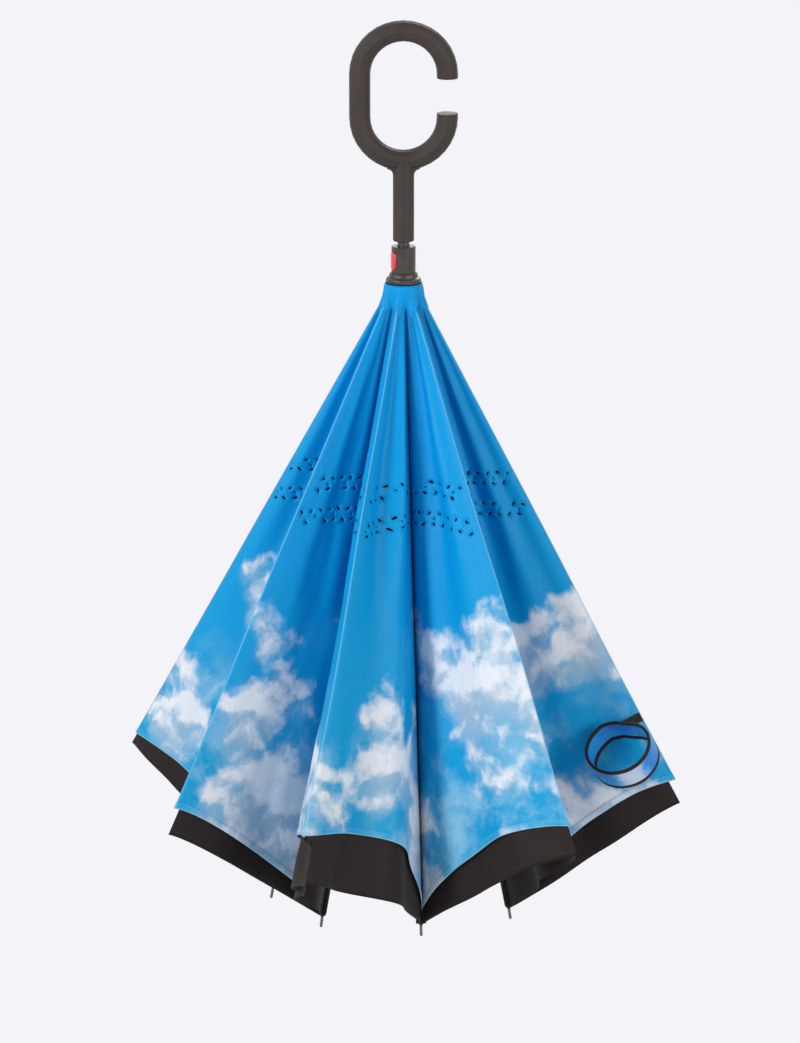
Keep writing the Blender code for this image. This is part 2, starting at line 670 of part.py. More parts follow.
def make_notch(parts, cutters, plastic, dark):
    """The slotted ring that the stretchers turn in, and the ferrule below it."""
    top = NOTCH_PIVOT_LEVEL + NOTCH_ABOVE_PIVOT
    bore = SHAFT_RADIUS + TOUCH_GAP
    profile = [(NOTCH_RADIUS, top), (NOTCH_RADIUS, NOTCH_BOTTOM), (bore, NOTCH_BOTTOM), (bore, top)]
    notch = turned("top_notch", profile, parts, plastic)
    slots = make_slots(
        "notch_slots",
        cutters,
        NOTCH_PIVOT_RADIUS,
        math.hypot(STRETCHER_DEPTH, TONGUE_WIDTH) / 2 + TOUCH_GAP,
        NOTCH_RADIUS + CUT_OVERRUN,
        TONGUE_WIDTH + 2 * TOUCH_GAP,
        NOTCH_PIVOT_LEVEL - NOTCH_SLOT_FLOOR,
        top + CUT_OVERRUN,
    )
    cut(notch, slots)

    end = FERRULE_TOP - FERRULE_LENGTH
    blind = FERRULE_TOP - FERRULE_SOCKET_DEPTH
    profile = [
        (FERRULE_RADIUS, FERRULE_TOP),
        (FERRULE_RADIUS, blind),
        (FERRULE_TIP_RADIUS, end + FERRULE_ROUND),
        (FERRULE_TIP_RADIUS - FERRULE_ROUND, end),
        (0.0, end),
        (0.0, blind),
        (bore, blind),
        (bore, FERRULE_TOP),
    ]
    turned("ferrule", profile, parts, dark)


def make_flaps(parts, prefix, place_at, top, at_rib, at_fold, window, material):
    """Both flaps of every rib. A flap's mesh is shared by all the flaps on its side."""
    for side, word in ((1, "right"), (-1, "left")):
        shared = None
        for index in range(RIB_COUNT):
            azimuth = rib_azimuth(index)
            place = place_at(azimuth, side)
            name = f"{prefix}_{index + 1}_{word}"
            if shared is None:
                outline = flap_outline(place_at, azimuth, side, top, at_rib, at_fold, window)
                shared = plate(name, outline, FABRIC_THICKNESS, parts, material, place).data
            else:
                new_object(name, shared, parts, None, place)


def crown_ring(at_rod, at_fold):
    """Points once round the folded crown, at a reach along the stretchers."""
    ring = []
    for index in range(RIB_COUNT):
        for side, azimuth in ((1, rib_azimuth(index)), (-1, rib_azimuth(index + 1))):
            place = flap_place(stretcher_lines(azimuth), CROWN_SEAT, azimuth, side, CROWN_FLAP_ANGLE)
            start, growth = halfway_line(place, azimuth, side)
            shares = [step / HEM_STEPS for step in range(HEM_STEPS + 1)]
            for share in reversed(shares) if side == 1 else shares[1:-1]:
                along, across = hem_point(share, start, growth, at_rod, at_fold)
                ring.append(place @ Vector((along, max(across, 0.0), 0.0)))
    return ring


def make_crown(parts, material):
    """The outer layer's crown, folded round the stretchers from the notch upwards."""
    bottom = crown_ring(CROWN_TOP, CROWN_TOP * cos(CROWN_GORE))
    top = crown_ring(CROWN_END, CROWN_END * cos(CROWN_GORE))
    count = len(top)
    faces = [(i, (i + 1) % count, count + (i + 1) % count, count + i) for i in range(count)]
    mesh = bpy.data.meshes.new("outer_crown")
    mesh.from_pydata(bottom + top, [], faces)
    crown = new_object("outer_crown", mesh, parts, material)
    solid = crown.modifiers.new("thickness", "SOLIDIFY")
    solid.thickness = FABRIC_THICKNESS
    solid.offset = 0.0
    solid.use_even_offset = True


def make_strap(parts, blue, dark):
    """The tie strap, closed into a loop that leans out of its flap, and its tab."""
    azimuth = rib_azimuth(STRAP_RIB)
    place = inner_place(azimuth, 1)
    surface = FABRIC_THICKNESS / 2 + TOUCH_GAP
    normal = place.col[2].xyz
    tab_place = place.copy()
    tab_place.translation = place @ Vector((STRAP_ALONG, STRAP_ACROSS, surface + TAB_THICKNESS / 2))
    plate("strap_tab", stadium(TAB_LENGTH, TAB_WIDTH), TAB_THICKNESS, parts, dark, tab_place)

    half = STRAP_WIDTH / 2
    down_fold = place.col[0].xyz * cos(RIB_GORE) + place.col[1].xyz * sin(RIB_GORE)
    axis = normal * sin(STRAP_LEAN) - down_fold * cos(STRAP_LEAN)
    across = axis.cross(normal).normalized()
    stand = surface + TAB_THICKNESS + TOUCH_GAP + STRAP_LOOP_RADIUS * cos(STRAP_LEAN) + half * sin(STRAP_LEAN)
    hang = STRAP_LOOP_RADIUS * sin(STRAP_LEAN) - half * cos(STRAP_LEAN)
    centre = place @ Vector((STRAP_ALONG, STRAP_ACROSS, stand)) + down_fold * hang
    inner = STRAP_LOOP_RADIUS - STRAP_THICKNESS
    profile = [(STRAP_LOOP_RADIUS, half), (STRAP_LOOP_RADIUS, -half), (inner, -half), (inner, half)]
    turned("tie_strap", profile, parts, blue, frame(centre, across, axis.cross(across)))


def main():
    remove_all()
    parts = new_collection("inverted_umbrella")
    cutters = new_collection("cutters")
    grip = new_material("matte_dark_grip", (0.052, 0.040, 0.036), 0.55)
    plastic = new_material("dark_plastic", (0.045, 0.038, 0.034), 0.40)
    red = new_material("red_plastic", (0.80, 0.03, 0.03), 0.35)
    steel = new_material("dark_steel", (0.10, 0.10, 0.10), 0.35, 0.9)
    rod = new_material("rib_rod", (0.05, 0.05, 0.05), 0.45, 0.3)
    blue = new_material("blue_fabric", (0.01, 0.25, 0.75), 0.75)
    black = new_material("black_fabric", (0.035, 0.028, 0.026), 0.85)

    make_handle(parts, cutters, grip)
    make_shaft(parts, steel)
    make_runner(parts, cutters, plastic, red, steel)
    make_ribs(parts, rod)
    make_stretchers(parts, steel)
    make_notch(parts, cutters, plastic, plastic)
    window = (FORK_WINDOW_TOP, FORK_WINDOW_BOTTOM, FORK_WINDOW_WIDTH)
    make_flaps(parts, "inner_panel", inner_place, INNER_TOP, INNER_HEM_AT_RIB, INNER_HEM_AT_FOLD, window, blue)
    outer_top = STRETCHER_REACH + CROWN_JOIN
    make_flaps(parts, "outer_panel", outer_place, outer_top, OUTER_HEM_AT_RIB, OUTER_HEM_AT_FOLD, None, black)
    make_crown(parts, black)
    make_strap(parts, blue, black)


main()
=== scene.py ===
"""Visual model of the folded inverted umbrella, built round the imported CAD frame."""
import json
import math
import random

import bpy
import numpy as np
from mathutils import Matrix, Vector, noise
from mathutils.geometry import delaunay_2d_cdt

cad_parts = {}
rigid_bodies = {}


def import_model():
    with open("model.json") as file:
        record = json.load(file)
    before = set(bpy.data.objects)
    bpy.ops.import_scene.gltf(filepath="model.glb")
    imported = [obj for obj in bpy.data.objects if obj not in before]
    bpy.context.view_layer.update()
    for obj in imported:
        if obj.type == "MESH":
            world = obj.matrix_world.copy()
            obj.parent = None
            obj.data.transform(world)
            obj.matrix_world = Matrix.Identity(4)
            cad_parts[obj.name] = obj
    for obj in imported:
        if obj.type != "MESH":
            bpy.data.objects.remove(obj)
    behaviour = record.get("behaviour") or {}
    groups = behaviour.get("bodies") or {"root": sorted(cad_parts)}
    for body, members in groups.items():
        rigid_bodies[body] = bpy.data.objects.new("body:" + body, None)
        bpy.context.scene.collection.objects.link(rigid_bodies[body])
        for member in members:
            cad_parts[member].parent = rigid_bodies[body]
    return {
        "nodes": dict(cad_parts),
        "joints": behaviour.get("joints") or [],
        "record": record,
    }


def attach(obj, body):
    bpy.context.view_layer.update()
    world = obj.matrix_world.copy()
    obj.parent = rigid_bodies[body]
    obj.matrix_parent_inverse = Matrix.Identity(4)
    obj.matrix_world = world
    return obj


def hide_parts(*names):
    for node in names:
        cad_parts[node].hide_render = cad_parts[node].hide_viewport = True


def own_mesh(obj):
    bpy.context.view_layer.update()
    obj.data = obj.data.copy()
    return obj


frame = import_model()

bpy.context.view_layer.update()

NODES = frame["nodes"]
JOINTS = {joint["child"]: joint for joint in frame["joints"]}
RATIOS = {c["joint"]: c["ratio"] for c in frame["record"]["behaviour"]["couplings"]}
TRAVEL = JOINTS["runner"]["range_m"][1]
RIBS = range(1, 9)
HALF_GORE = math.radians(22.5)
FLAT_HALF_GORE = math.radians(19.25)
UP = np.array((0.0, 0.0, 1.0))
TAU = 2 * math.pi

# Cloth thickness, and a share of the cloth's soft height
CLOTH, KEEP = 0.00015, 0.04
# Reaches along the rib, in metres from the hub: where each cloth starts, and its hem at rib and fold
INNER_TOP, INNER_HEM_RIB, INNER_HEM_FOLD = 0.004, 0.548, 0.490
OUTER_TOP, OUTER_HEM_RIB, OUTER_HEM_FOLD = 0.275, 0.560, 0.515
FULL_REACH = 0.463
# How suddenly each hem drops from the fold to the rib, by half gore where it isn't the usual
HEM_POWER = {(1, -1): 2.9, (1, 1): 2.1, (8, -1): 1.4}
BLUE_POWER, BLACK_POWER = 1.9, 1.25
# Distance square to a slanted hem, for one unit along the rib
HEM_SLANT = 0.86
# Distance given to pieces that are nowhere near a hem or a fold
FAR = 0.1

# Sideways shift of each fold at the hem; ridge k is the fold between rib k and rib k + 1
RIDGE_SHIFT = {1: 0.021, 2: -0.012, 3: 0.006, 4: -0.007, 5: 0.008, 6: -0.002, 7: 0.037, 8: -0.020}
# How much lower than usual the black hem is at each fold
OUTER_DROP = {1: 0.002, 2: -0.002, 3: 0.003, 4: 0.0, 5: 0.004, 6: -0.014, 7: 0.0, 8: 0.018}
# Below the printed cloth's corner, the black fold lies this far in from the blue one and beside it
OUTER_INSET = {1: 0.003, 2: 0.0075, 3: 0.001, 4: 0.001, 5: 0.001, 6: 0.002, 7: 0.006, 8: 0.004}
OUTER_SHIFT = {8: 0.009}


# ---------------------------------------------------------------- joints and places

def pose_matrix(body, travel):
    """Where a body is, from rest, once the runner has gone this far."""
    if body == "frame":
        return Matrix.Identity(4)
    joint = JOINTS[body]
    amount = travel * RATIOS.get(joint["name"], 1.0)
    axis = Vector(joint["axis"])
    if joint["type"] == "slide":
        move = Matrix.Translation(axis * amount)
    else:
        pin = Matrix.Translation(Vector(joint["pos_m"]))
        move = pin @ Matrix.Rotation(amount, 4, axis) @ pin.inverted()
    return pose_matrix(joint["parent"], travel) @ move


def opened(body):
    matrix = np.array(pose_matrix(body, TRAVEL))
    return matrix[:3, :3], matrix[:3, 3]


def unit(vector):
    return vector / np.linalg.norm(vector)


def vertices(node):
    return np.array([v.co for v in NODES[node].data.vertices])


def smooth(x, low, high):
    t = np.clip((x - low) / (high - low), 0.0, 1.0)
    return t * t * (3.0 - 2.0 * t)


def evenly(count):
    return np.linspace(0.0, 1.0, count)


def grid(first, second):
    return np.meshgrid(first, second, indexing="ij")


def azimuth_frame(azimuth):
    """Outward and sideways directions at an azimuth from -Y towards +X."""
    outward = np.array((math.sin(azimuth), -math.cos(azimuth), 0.0))
    sideways = np.array((math.cos(azimuth), math.sin(azimuth), 0.0))
    return outward, sideways


def circle(turn, radius, level):
    """Points round the shaft, at azimuths from -Y towards +X."""
    level = np.broadcast_to(level, turn.shape)
    return np.column_stack((radius * np.sin(turn), -radius * np.cos(turn), level))


def rib_azimuth(k):
    sideways = -np.array(JOINTS[f"rib_{k}"]["axis"])
    return math.atan2(sideways[1], sideways[0])


def ridge_frame(ridge):
    return azimuth_frame(rib_azimuth(ridge) + HALF_GORE)


class Plane:
    """A half gore's flat plane at rest: along the rib, across to the fold, and its outer normal."""

    def __init__(self, body, origin, along, across, outer):
        self.body = body
        self.origin, self.along, self.across = origin, unit(along), unit(across)
        normal = np.cross(self.along, self.across)
        self.normal = normal if normal @ outer > 0 else -normal

    def point(self, reach, width, height):
        reach, width, height = (np.asarray(x, float)[..., None] for x in (reach, width, height))
        return self.origin + self.along * reach + self.across * width + self.normal * height

    def local(self, points):
        offset = points - self.origin
        return offset @ self.along, offset @ self.across, offset @ self.normal

    def open_width(self, reach, sideways):
        """Width at which the flat plane meets the halfway plane once the canopy is open."""
        turn, shift = opened(self.body)
        origin = turn @ self.origin + shift
        along, across = turn @ self.along, turn @ self.across
        return -(origin @ sideways + reach * (along @ sideways)) / (across @ sideways)

    def ridge(self, reach, sideways):
        """Points over the open fold line, raised to the halfway plane at rest."""
        width = self.open_width(reach, sideways)
        flat = self.point(reach, width, np.zeros_like(reach))
        height = -(flat @ sideways) / (self.normal @ sideways)
        return self.point(reach, width, height)


STEPS = np.linspace(0.0, 0.62, 249)
GRID_REACH = np.linspace(0.0, 0.62, 187)
GRID_SHARE = evenly(49)
# The cloth leaves its seam flat and turns towards its fold by this power of the share of its width
BEND_POWER = 1.6


class Half:
    """One half gore of the printed cloth: its plane, its fold and its rest form."""

    def __init__(self, k, side, plane, ridge):
        self.k, self.side, self.plane, self.body = k, side, plane, plane.body
        self.name = f"{k}_{'right' if side > 0 else 'left'}"
        self.ridge_reach, self.ridge_width, self.ridge_height = plane.local(ridge)
        self.power = HEM_POWER.get((k, side), BLUE_POWER)

    def edge_width(self, reach):
        return np.interp(reach, self.ridge_reach, self.ridge_width)

    def corner(self, hem):
        """Reach at which the fold line ends, for a hem this far from the hub."""
        step = hem * math.cos(FLAT_HALF_GORE) + 0.0005
        return float(np.interp(step, STEPS, self.ridge_reach))

    def shape(self):
        """Works out the soft form once, on a grid of reaches and shares of the width."""
        reach, share = grid(GRID_REACH, GRID_SHARE)
        bend = np.interp(reach, self.ridge_reach, self.ridge_height) * share ** BEND_POWER
        self.grid = bend + relief(self.k, self.side, reach, share)

    def height(self, reach, width):
        """Height of the cloth at rest over a point of its cut."""
        share = np.clip(width / np.maximum(self.edge_width(reach), 1e-5), 0.0, 1.0)
        row = np.clip(reach / GRID_REACH[-1], 0.0, 0.9999) * (len(GRID_REACH) - 1)
        column = np.clip(share, 0.0, 0.9999) * (len(GRID_SHARE) - 1)
        i, j = row.astype(int), column.astype(int)
        u, v = row - i, column - j
        g = self.grid
        low, high = (g[i, c] * (1 - u) + g[i + 1, c] * u for c in (j, j + 1))
        return low * (1 - v) + high * v

    def rest(self, reach, width, rise=0.0):
        return self.plane.point(reach, width, self.height(reach, width) + rise)


def seeded(*words):
    return random.Random("-".join(str(w) for w in words))


def folds_of(k, side):
    """Random soft folds of one half gore: waves as (count, phase, [drift,] size)."""
    rng = seeded("fold", k, side)
    pick = rng.uniform
    return {
        "belly": 0.0145 + 0.005 * pick(-1, 1),
        "lean": pick(0.75, 1.15),
        "gather": [(pick(1.2, 2.6), pick(0, 6.28), pick(0.6, 1.0)) for _ in range(2)],
        "mid": [(pick(0.7, 1.5), pick(0, 6.28), pick(-3, 3), pick(0.5, 1.0)) for _ in range(2)],
        "hem": [(pick(1.2, 2.4), pick(0, 6.28), pick(0.5, 1.0)) for _ in range(2)],
        "seed": pick(0, 50),
    }


FOLDS = {(k, side): folds_of(k, side) for k in RIBS for side in (1, -1)}
# Sizes of the soft folds: gathers as a share of the width, the rest in metres
GATHER, MIDDLE, HEM_WAVE, ROUGH = 0.085, 0.0017, 0.0020, 0.0016
WAVE = 6.283


def relief(k, side, reach, share):
    """Height of the soft form over the flat plane, nought at the seam and at the fold."""
    f = FOLDS[(k, side)]
    grow = np.clip(reach / FULL_REACH, 0.0, 1.3)
    hold = np.sin(math.pi * np.clip(share, 0.0, 1.0)) ** 0.8
    belly = f["belly"] * grow ** 1.3 * np.sin(math.pi * np.clip(share, 0, 1) ** f["lean"])
    width = 0.0035 + 0.35 * reach
    gather = sum(a * np.sin(WAVE * n * share + p) for n, p, a in f["gather"])
    gather = gather * GATHER * width * (1.0 - 0.75 * smooth(reach, 0.10, 0.34))
    middle = sum(a * np.sin(WAVE * n * share + p + d * reach) for n, p, d, a in f["mid"]) * MIDDLE * grow
    hem = sum(a * np.sin(WAVE * n * share + p) for n, p, a in f["hem"])
    hem = hem * HEM_WAVE * smooth(reach, 0.36, 0.52)
    seed = f["seed"]
    rough = np.array([
        noise.noise(Vector((s * 5.0 + seed, r * 9.0, 0.0)))
        + 0.5 * noise.noise(Vector((s * 11.0, r * 26.0, seed)))
        for s, r in zip(np.ravel(share), np.ravel(reach))
    ]).reshape(np.shape(share)) * ROUGH * (0.3 + grow)
    return belly + hold * (gather + middle + hem + rough)


def blue_plane(k, side):
    word = "right" if side > 0 else "left"
    body = f"panels_{k}_{word}"
    joint = JOINTS[body]
    seam, along = np.array(joint["pos_m"]), -side * np.array(joint["axis"])
    sideways = -np.array(JOINTS[f"rib_{k}"]["axis"])
    offset = vertices(f"inner_panel_{k}_{word}") - seam
    across = (offset - np.outer(offset @ along, along)).mean(0)
    return Plane(body, seam, along, across, -side * sideways)


def black_plane(half):
    """The outer panel's plane, as a level and a slope over the inner one's."""
    blue = half.plane
    _, width, height = blue.local(vertices(f"outer_panel_{half.name}"))
    slope, level = np.polyfit(width, height, 1)
    origin, across = blue.origin + blue.normal * level, blue.across + blue.normal * slope
    plane = Plane(blue.body, origin, blue.along, across, blue.normal)
    plane.slope, plane.level = slope, level
    return plane


def ridge_curve(plane, ridge):
    _, sideways = ridge_frame(ridge)
    grow = (STEPS / FULL_REACH)[:, None]
    wave = 0.0016 * np.sin(STEPS * 21.0 + ridge * 1.7)[:, None] * grow
    return plane.ridge(STEPS, sideways) + sideways * (RIDGE_SHIFT[ridge] * grow ** 1.15 + wave)


BLUE, CURVES = {}, {}
for k in RIBS:
    CURVES[k] = ridge_curve(blue_plane(k, 1), k)
    for key in ((k, 1), (k % 8 + 1, -1)):
        BLUE[key] = Half(*key, blue_plane(*key), CURVES[k])
        BLUE[key].shape()


# ---------------------------------------------------------------- materials

class Nodes:
    """Short names for building one material's nodes."""

    def __init__(self, name, **sockets):
        self.material = bpy.data.materials.new(name)
        self.material.use_nodes = True
        self.tree = self.material.node_tree
        self.shader = self.tree.nodes["Principled BSDF"]
        for socket, value in sockets.items():
            self.shader.inputs[socket.replace("_", " ")].default_value = value

    def fill(self, node, inputs):
        for key, value in inputs.items():
            if isinstance(value, bpy.types.NodeSocket):
                self.tree.links.new(value, node.inputs[key])
            else:
                node.inputs[key].default_value = value
        return node

    def add(self, kind, inputs=None, **settings):
        node = self.tree.nodes.new("ShaderNode" + kind)
        for key, value in settings.items():
            setattr(node, key, value)
        return self.fill(node, inputs or {})

    def link(self, source, socket):
        self.tree.links.new(source, self.shader.inputs[socket])

    def finish(self, colour, roughness, normal):
        for source, socket in ((colour, "Base Color"), (roughness, "Roughness"), (normal, "Normal")):
            self.link(source, socket)
        return self.material

    def maths(self, operation, *values):
        return self.add("Math", dict(enumerate(values)), operation=operation).outputs[0]

    def vector_maths(self, operation, *values, output=0):
        node = self.add("VectorMath", dict(enumerate(values)), operation=operation)
        return node.outputs[output]

    def mix(self, factor, first, second, blend="MIX"):
        node = self.add("Mix", data_type="RGBA", blend_type=blend)
        return self.fill(node, {0: factor, 6: first, 7: second}).outputs[2]

    def noise(self, vector, scale, detail=4.0, roughness=0.5, output="Fac"):
        inputs = {"Vector": vector, "Scale": scale, "Detail": detail, "Roughness": roughness}
        return self.add("TexNoise", inputs).outputs[output]

    def ramp(self, value, low, high, start=0.0, end=1.0):
        inputs = {"Value": value, "From Min": low, "From Max": high, "To Min": start, "To Max": end}
        return self.add("MapRange", inputs, interpolation_type="SMOOTHSTEP").outputs["Result"]

    def attribute(self, name, output="Vector"):
        return self.add("Attribute", attribute_name=name).outputs[output]

    def place(self):
        return self.add("TexCoord").outputs["Object"]

    def split(self, vector):
        return self.add("SeparateXYZ", {"Vector": vector}).outputs

    def stretch(self, vector, scale):
        return self.add("Mapping", {"Vector": vector, "Scale": scale}).outputs["Vector"]

    def bump(self, height, strength, distance, normal=None):
        inputs = {"Height": height, "Strength": strength, "Distance": distance}
        if normal is not None:
            inputs["Normal"] = normal
        return self.add("Bump", inputs).outputs["Normal"]

    def weave(self, cut, threads, depth):
        """Fine over-and-under threads in the cut's own directions."""
        along, across = self.split(cut)[:2]
        warp = self.maths("SINE", self.maths("MULTIPLY", along, threads))
        weft = self.maths("SINE", self.maths("MULTIPLY", across, threads))
        return self.bump(self.maths("MULTIPLY", warp, weft), 0.35, depth)


def rgb(red, green, blue):
    return (red, green, blue, 1.0)


BLUE_THREADS, BLACK_THREADS = 9500.0, 7600.0


def sky_cloth():
    m = Nodes("sky_cloth", Roughness=0.46, Sheen_Weight=0.02, Sheen_Roughness=0.4, Specular_IOR_Level=0.15)
    m.shader.inputs["Sheen Tint"].default_value = rgb(0.75, 0.9, 1.0)
    sky, cut = m.attribute("sky"), m.attribute("cut")
    radius = m.vector_maths("LENGTH", sky, output="Value")
    inward = m.vector_maths("NORMALIZE", sky)
    # The sky: deep azure at the top, a little greener towards the hem
    depth = m.ramp(radius, 0.08, 0.50)
    sky_colour = m.mix(depth, rgb(0.0, 0.325, 0.725), rgb(0.002, 0.350, 0.660))
    haze = m.noise(sky, 3.1, 2.0)
    sky_colour = m.mix(m.ramp(haze, 0.35, 0.75, 0.0, 0.35), sky_colour, rgb(0.0, 0.325, 0.740))
    # Heaped clouds, lit from the side of the hub
    warp = m.noise(sky, 24.0, 4.0, 0.6, "Color")
    puffed = m.vector_maths("MULTIPLY_ADD", warp, (0.026, 0.026, 0.0), sky)
    lifted = m.vector_maths("MULTIPLY_ADD", inward, (-0.011, -0.011, 0.0), puffed)
    cover = m.ramp(radius, 0.20, 0.32, -0.30, 0.038)
    heap = m.maths("ADD", m.noise(puffed, 8.2, 6.0, 0.52), cover)
    above = m.maths("ADD", m.noise(lifted, 8.2, 6.0, 0.52), cover)
    mask = m.ramp(heap, 0.505, 0.590)
    lit = m.ramp(m.maths("SUBTRACT", heap, above), -0.035, 0.045)
    thick = m.ramp(heap, 0.52, 0.68)
    grey = m.mix(thick, rgb(0.17, 0.46, 0.70), rgb(0.38, 0.53, 0.68))
    cloud = m.mix(lit, grey, rgb(0.83, 0.86, 0.90))
    # Thin veils low down
    veil_noise = m.noise(m.vector_maths("ADD", puffed, (3.7, 1.9, 0.0)), 15.0, 6.0, 0.62)
    veil = m.maths("MULTIPLY", m.ramp(veil_noise, 0.44, 0.66), m.ramp(radius, 0.34, 0.46, 0.0, 0.62))
    colour = m.mix(veil, sky_colour, rgb(0.42, 0.68, 0.82))
    colour = m.mix(mask, colour, cloud)
    # A slightly paler band along the hem, where the cloth is double, and its pale edge
    hem = m.attribute("hem", "Fac")
    band = m.ramp(hem, 0.0048, 0.0062, 1.0, 0.0)
    colour = m.mix(m.maths("MULTIPLY", band, 0.14), colour, rgb(0.16, 0.52, 0.74))
    colour = m.mix(m.ramp(hem, 0.0004, 0.0012, 0.55, 0.0), colour, rgb(0.36, 0.66, 0.84))
    # Painted shade: the colour darkens deep in the valley at the seam, where the folds shade each other
    painted_valley_shade = m.ramp(m.split(cut)[1], 0.0, 0.014, 0.80, 0.0)
    colour = m.mix(painted_valley_shade, colour, m.mix(0.5, colour, rgb(0.0, 0.020, 0.160), "MULTIPLY"))
    # Painted highlight: pale along the sharp crease of the fold
    painted_crease_highlight = m.ramp(m.attribute("fold", "Fac"), 0.0004, 0.0014, 0.45, 0.0)
    colour = m.mix(painted_crease_highlight, colour, rgb(0.30, 0.66, 0.92))
    # Woven slubs
    slub = m.noise(m.stretch(cut, (60.0, 1500.0, 1.0)), 1.0, 3.0, 0.6)
    colour = m.mix(m.ramp(slub, 0.3, 0.7, 0.0, 0.10), colour, rgb(0.0, 0.10, 0.35))
    crease = m.noise(m.stretch(cut, (14.0, 60.0, 1.0)), 1.0, 4.0, 0.55)
    normal = m.bump(crease, 0.18, 0.0022, m.weave(cut, BLUE_THREADS, 0.00004))
    return m.finish(colour, m.ramp(slub, 0.25, 0.75, 0.36, 0.52), normal)


def black_cloth():
    m = Nodes("black_cloth", Roughness=0.64, Sheen_Weight=0.07, Sheen_Roughness=0.5, Specular_IOR_Level=0.16)
    m.shader.inputs["Sheen Tint"].default_value = rgb(0.9, 0.82, 0.78)
    cut = m.attribute("cut")
    streak = m.noise(m.stretch(cut, (45.0, 1900.0, 1.0)), 1.0, 4.0, 0.65)
    broad = m.noise(cut, 26.0, 3.0, 0.5)
    colour = m.mix(m.ramp(streak, 0.3, 0.72), rgb(0.0105, 0.0070, 0.0060), rgb(0.0245, 0.0168, 0.0142))
    colour = m.mix(m.ramp(broad, 0.35, 0.7, 0.0, 0.35), colour, rgb(0.017, 0.013, 0.012))
    edge = m.ramp(m.attribute("hem", "Fac"), 0.0018, 0.0030, 0.75, 0.0)
    colour = m.mix(edge, colour, rgb(0.012, 0.009, 0.008))
    normal = m.bump(streak, 0.25, 0.0003, m.weave(cut, BLACK_THREADS, 0.00006))
    return m.finish(colour, m.ramp(streak, 0.3, 0.7, 0.55, 0.72), normal)


def soft_grip():
    m = Nodes("soft_grip", Roughness=0.58, Specular_IOR_Level=0.34)
    place = m.place()
    grain, rub = m.noise(place, 1400.0, 3.0, 0.6), m.noise(place, 46.0, 4.0, 0.55)
    colour = m.mix(m.ramp(rub, 0.32, 0.72), rgb(0.031, 0.0225, 0.0200), rgb(0.044, 0.0325, 0.0290))
    colour = m.mix(m.ramp(grain, 0.45, 0.8, 0.0, 0.25), colour, rgb(0.058, 0.044, 0.039))
    return m.finish(colour, m.ramp(rub, 0.3, 0.75, 0.48, 0.64), m.bump(grain, 0.30, 0.00008))


def moulded_plastic():
    m = Nodes("moulded_plastic", Roughness=0.36, Specular_IOR_Level=0.5)
    place = m.place()
    grain, mottle = m.noise(place, 900.0, 3.0, 0.55), m.noise(place, 120.0, 3.0, 0.5)
    colour = m.mix(m.ramp(mottle, 0.3, 0.7), rgb(0.034, 0.026, 0.023), rgb(0.047, 0.037, 0.032))
    return m.finish(colour, m.ramp(mottle, 0.3, 0.7, 0.31, 0.42), m.bump(grain, 0.15, 0.00004))


def red_button():
    m = Nodes("red_button", Roughness=0.24, Specular_IOR_Level=0.5, Coat_Weight=0.35, Coat_Roughness=0.12)
    place = m.place()
    grain, mottle = m.noise(place, 1500.0, 2.0), m.noise(place, 300.0, 2.0)
    colour = m.mix(mottle, rgb(0.70, 0.022, 0.030), rgb(0.84, 0.045, 0.050))
    return m.finish(colour, m.ramp(mottle, 0.3, 0.7, 0.20, 0.30), m.bump(grain, 0.06, 0.00003))


def coated_steel():
    m = Nodes("coated_steel", Metallic=0.55, Roughness=0.34)
    drawn = m.noise(m.stretch(m.place(), (2600.0, 2600.0, 40.0)), 1.0, 3.0, 0.6)
    colour = m.mix(m.ramp(drawn, 0.3, 0.7), rgb(0.060, 0.055, 0.052), rgb(0.105, 0.098, 0.092))
    return m.finish(colour, m.ramp(drawn, 0.3, 0.7, 0.28, 0.42), m.bump(drawn, 0.12, 0.00003))


TIP_LEVEL = -0.7550


def rib_rod():
    """Dark glass-fibre rod, with a brownish metal sleeve and pin at the tip."""
    m = Nodes("rib_rod", Roughness=0.42)
    place = m.place()
    tip = m.ramp(m.split(place)[2], TIP_LEVEL, TIP_LEVEL + 0.0005, 1.0, 0.0)
    fibre = m.noise(m.stretch(place, (1800.0, 1800.0, 70.0)), 1.0, 3.0, 0.6)
    rod = m.mix(m.ramp(fibre, 0.3, 0.7), rgb(0.030, 0.029, 0.030), rgb(0.055, 0.053, 0.054))
    worn = m.ramp(m.noise(place, 700.0, 3.0), 0.3, 0.7)
    colour = m.mix(tip, rod, m.mix(worn, rgb(0.115, 0.090, 0.078), rgb(0.200, 0.165, 0.145)))
    m.link(m.maths("MULTIPLY", tip, 0.75), "Metallic")
    return m.finish(colour, m.ramp(fibre, 0.3, 0.7, 0.34, 0.50), m.bump(fibre, 0.12, 0.00004))


def thread(name, first, second):
    m = Nodes(name, Roughness=0.6, Sheen_Weight=0.2)
    twist = m.noise(m.place(), 2200.0, 2.0)
    m.link(m.mix(twist, rgb(*first), rgb(*second)), "Base Color")
    m.link(m.bump(twist, 0.3, 0.0001), "Normal")
    return m.material


STRAP_CLOUD = 0.112


def strap_cloth():
    """The strap's printed band: blue, with one pale cloud on its lower side."""
    m = Nodes("strap_cloth", Roughness=0.45, Sheen_Weight=0.06, Specular_IOR_Level=0.30)
    cut = m.attribute("cut")
    shade = m.noise(m.stretch(cut, (34.0, 60.0, 1.0)), 1.0, 3.0)
    colour = m.mix(m.ramp(shade, 0.35, 0.65), rgb(0.001, 0.20, 0.66), rgb(0.006, 0.34, 0.80))
    near = m.maths("ABSOLUTE", m.maths("SUBTRACT", m.split(cut)[0], STRAP_CLOUD))
    ragged = m.maths("ADD", near, m.maths("MULTIPLY", m.noise(cut, 150.0, 4.0, 0.6), 0.018))
    colour = m.mix(m.ramp(ragged, 0.014, 0.026, 0.88, 0.0), colour, rgb(0.62, 0.72, 0.84))
    return m.finish(colour, m.ramp(shade, 0.3, 0.7, 0.38, 0.5), m.weave(cut, BLUE_THREADS, 0.00004))


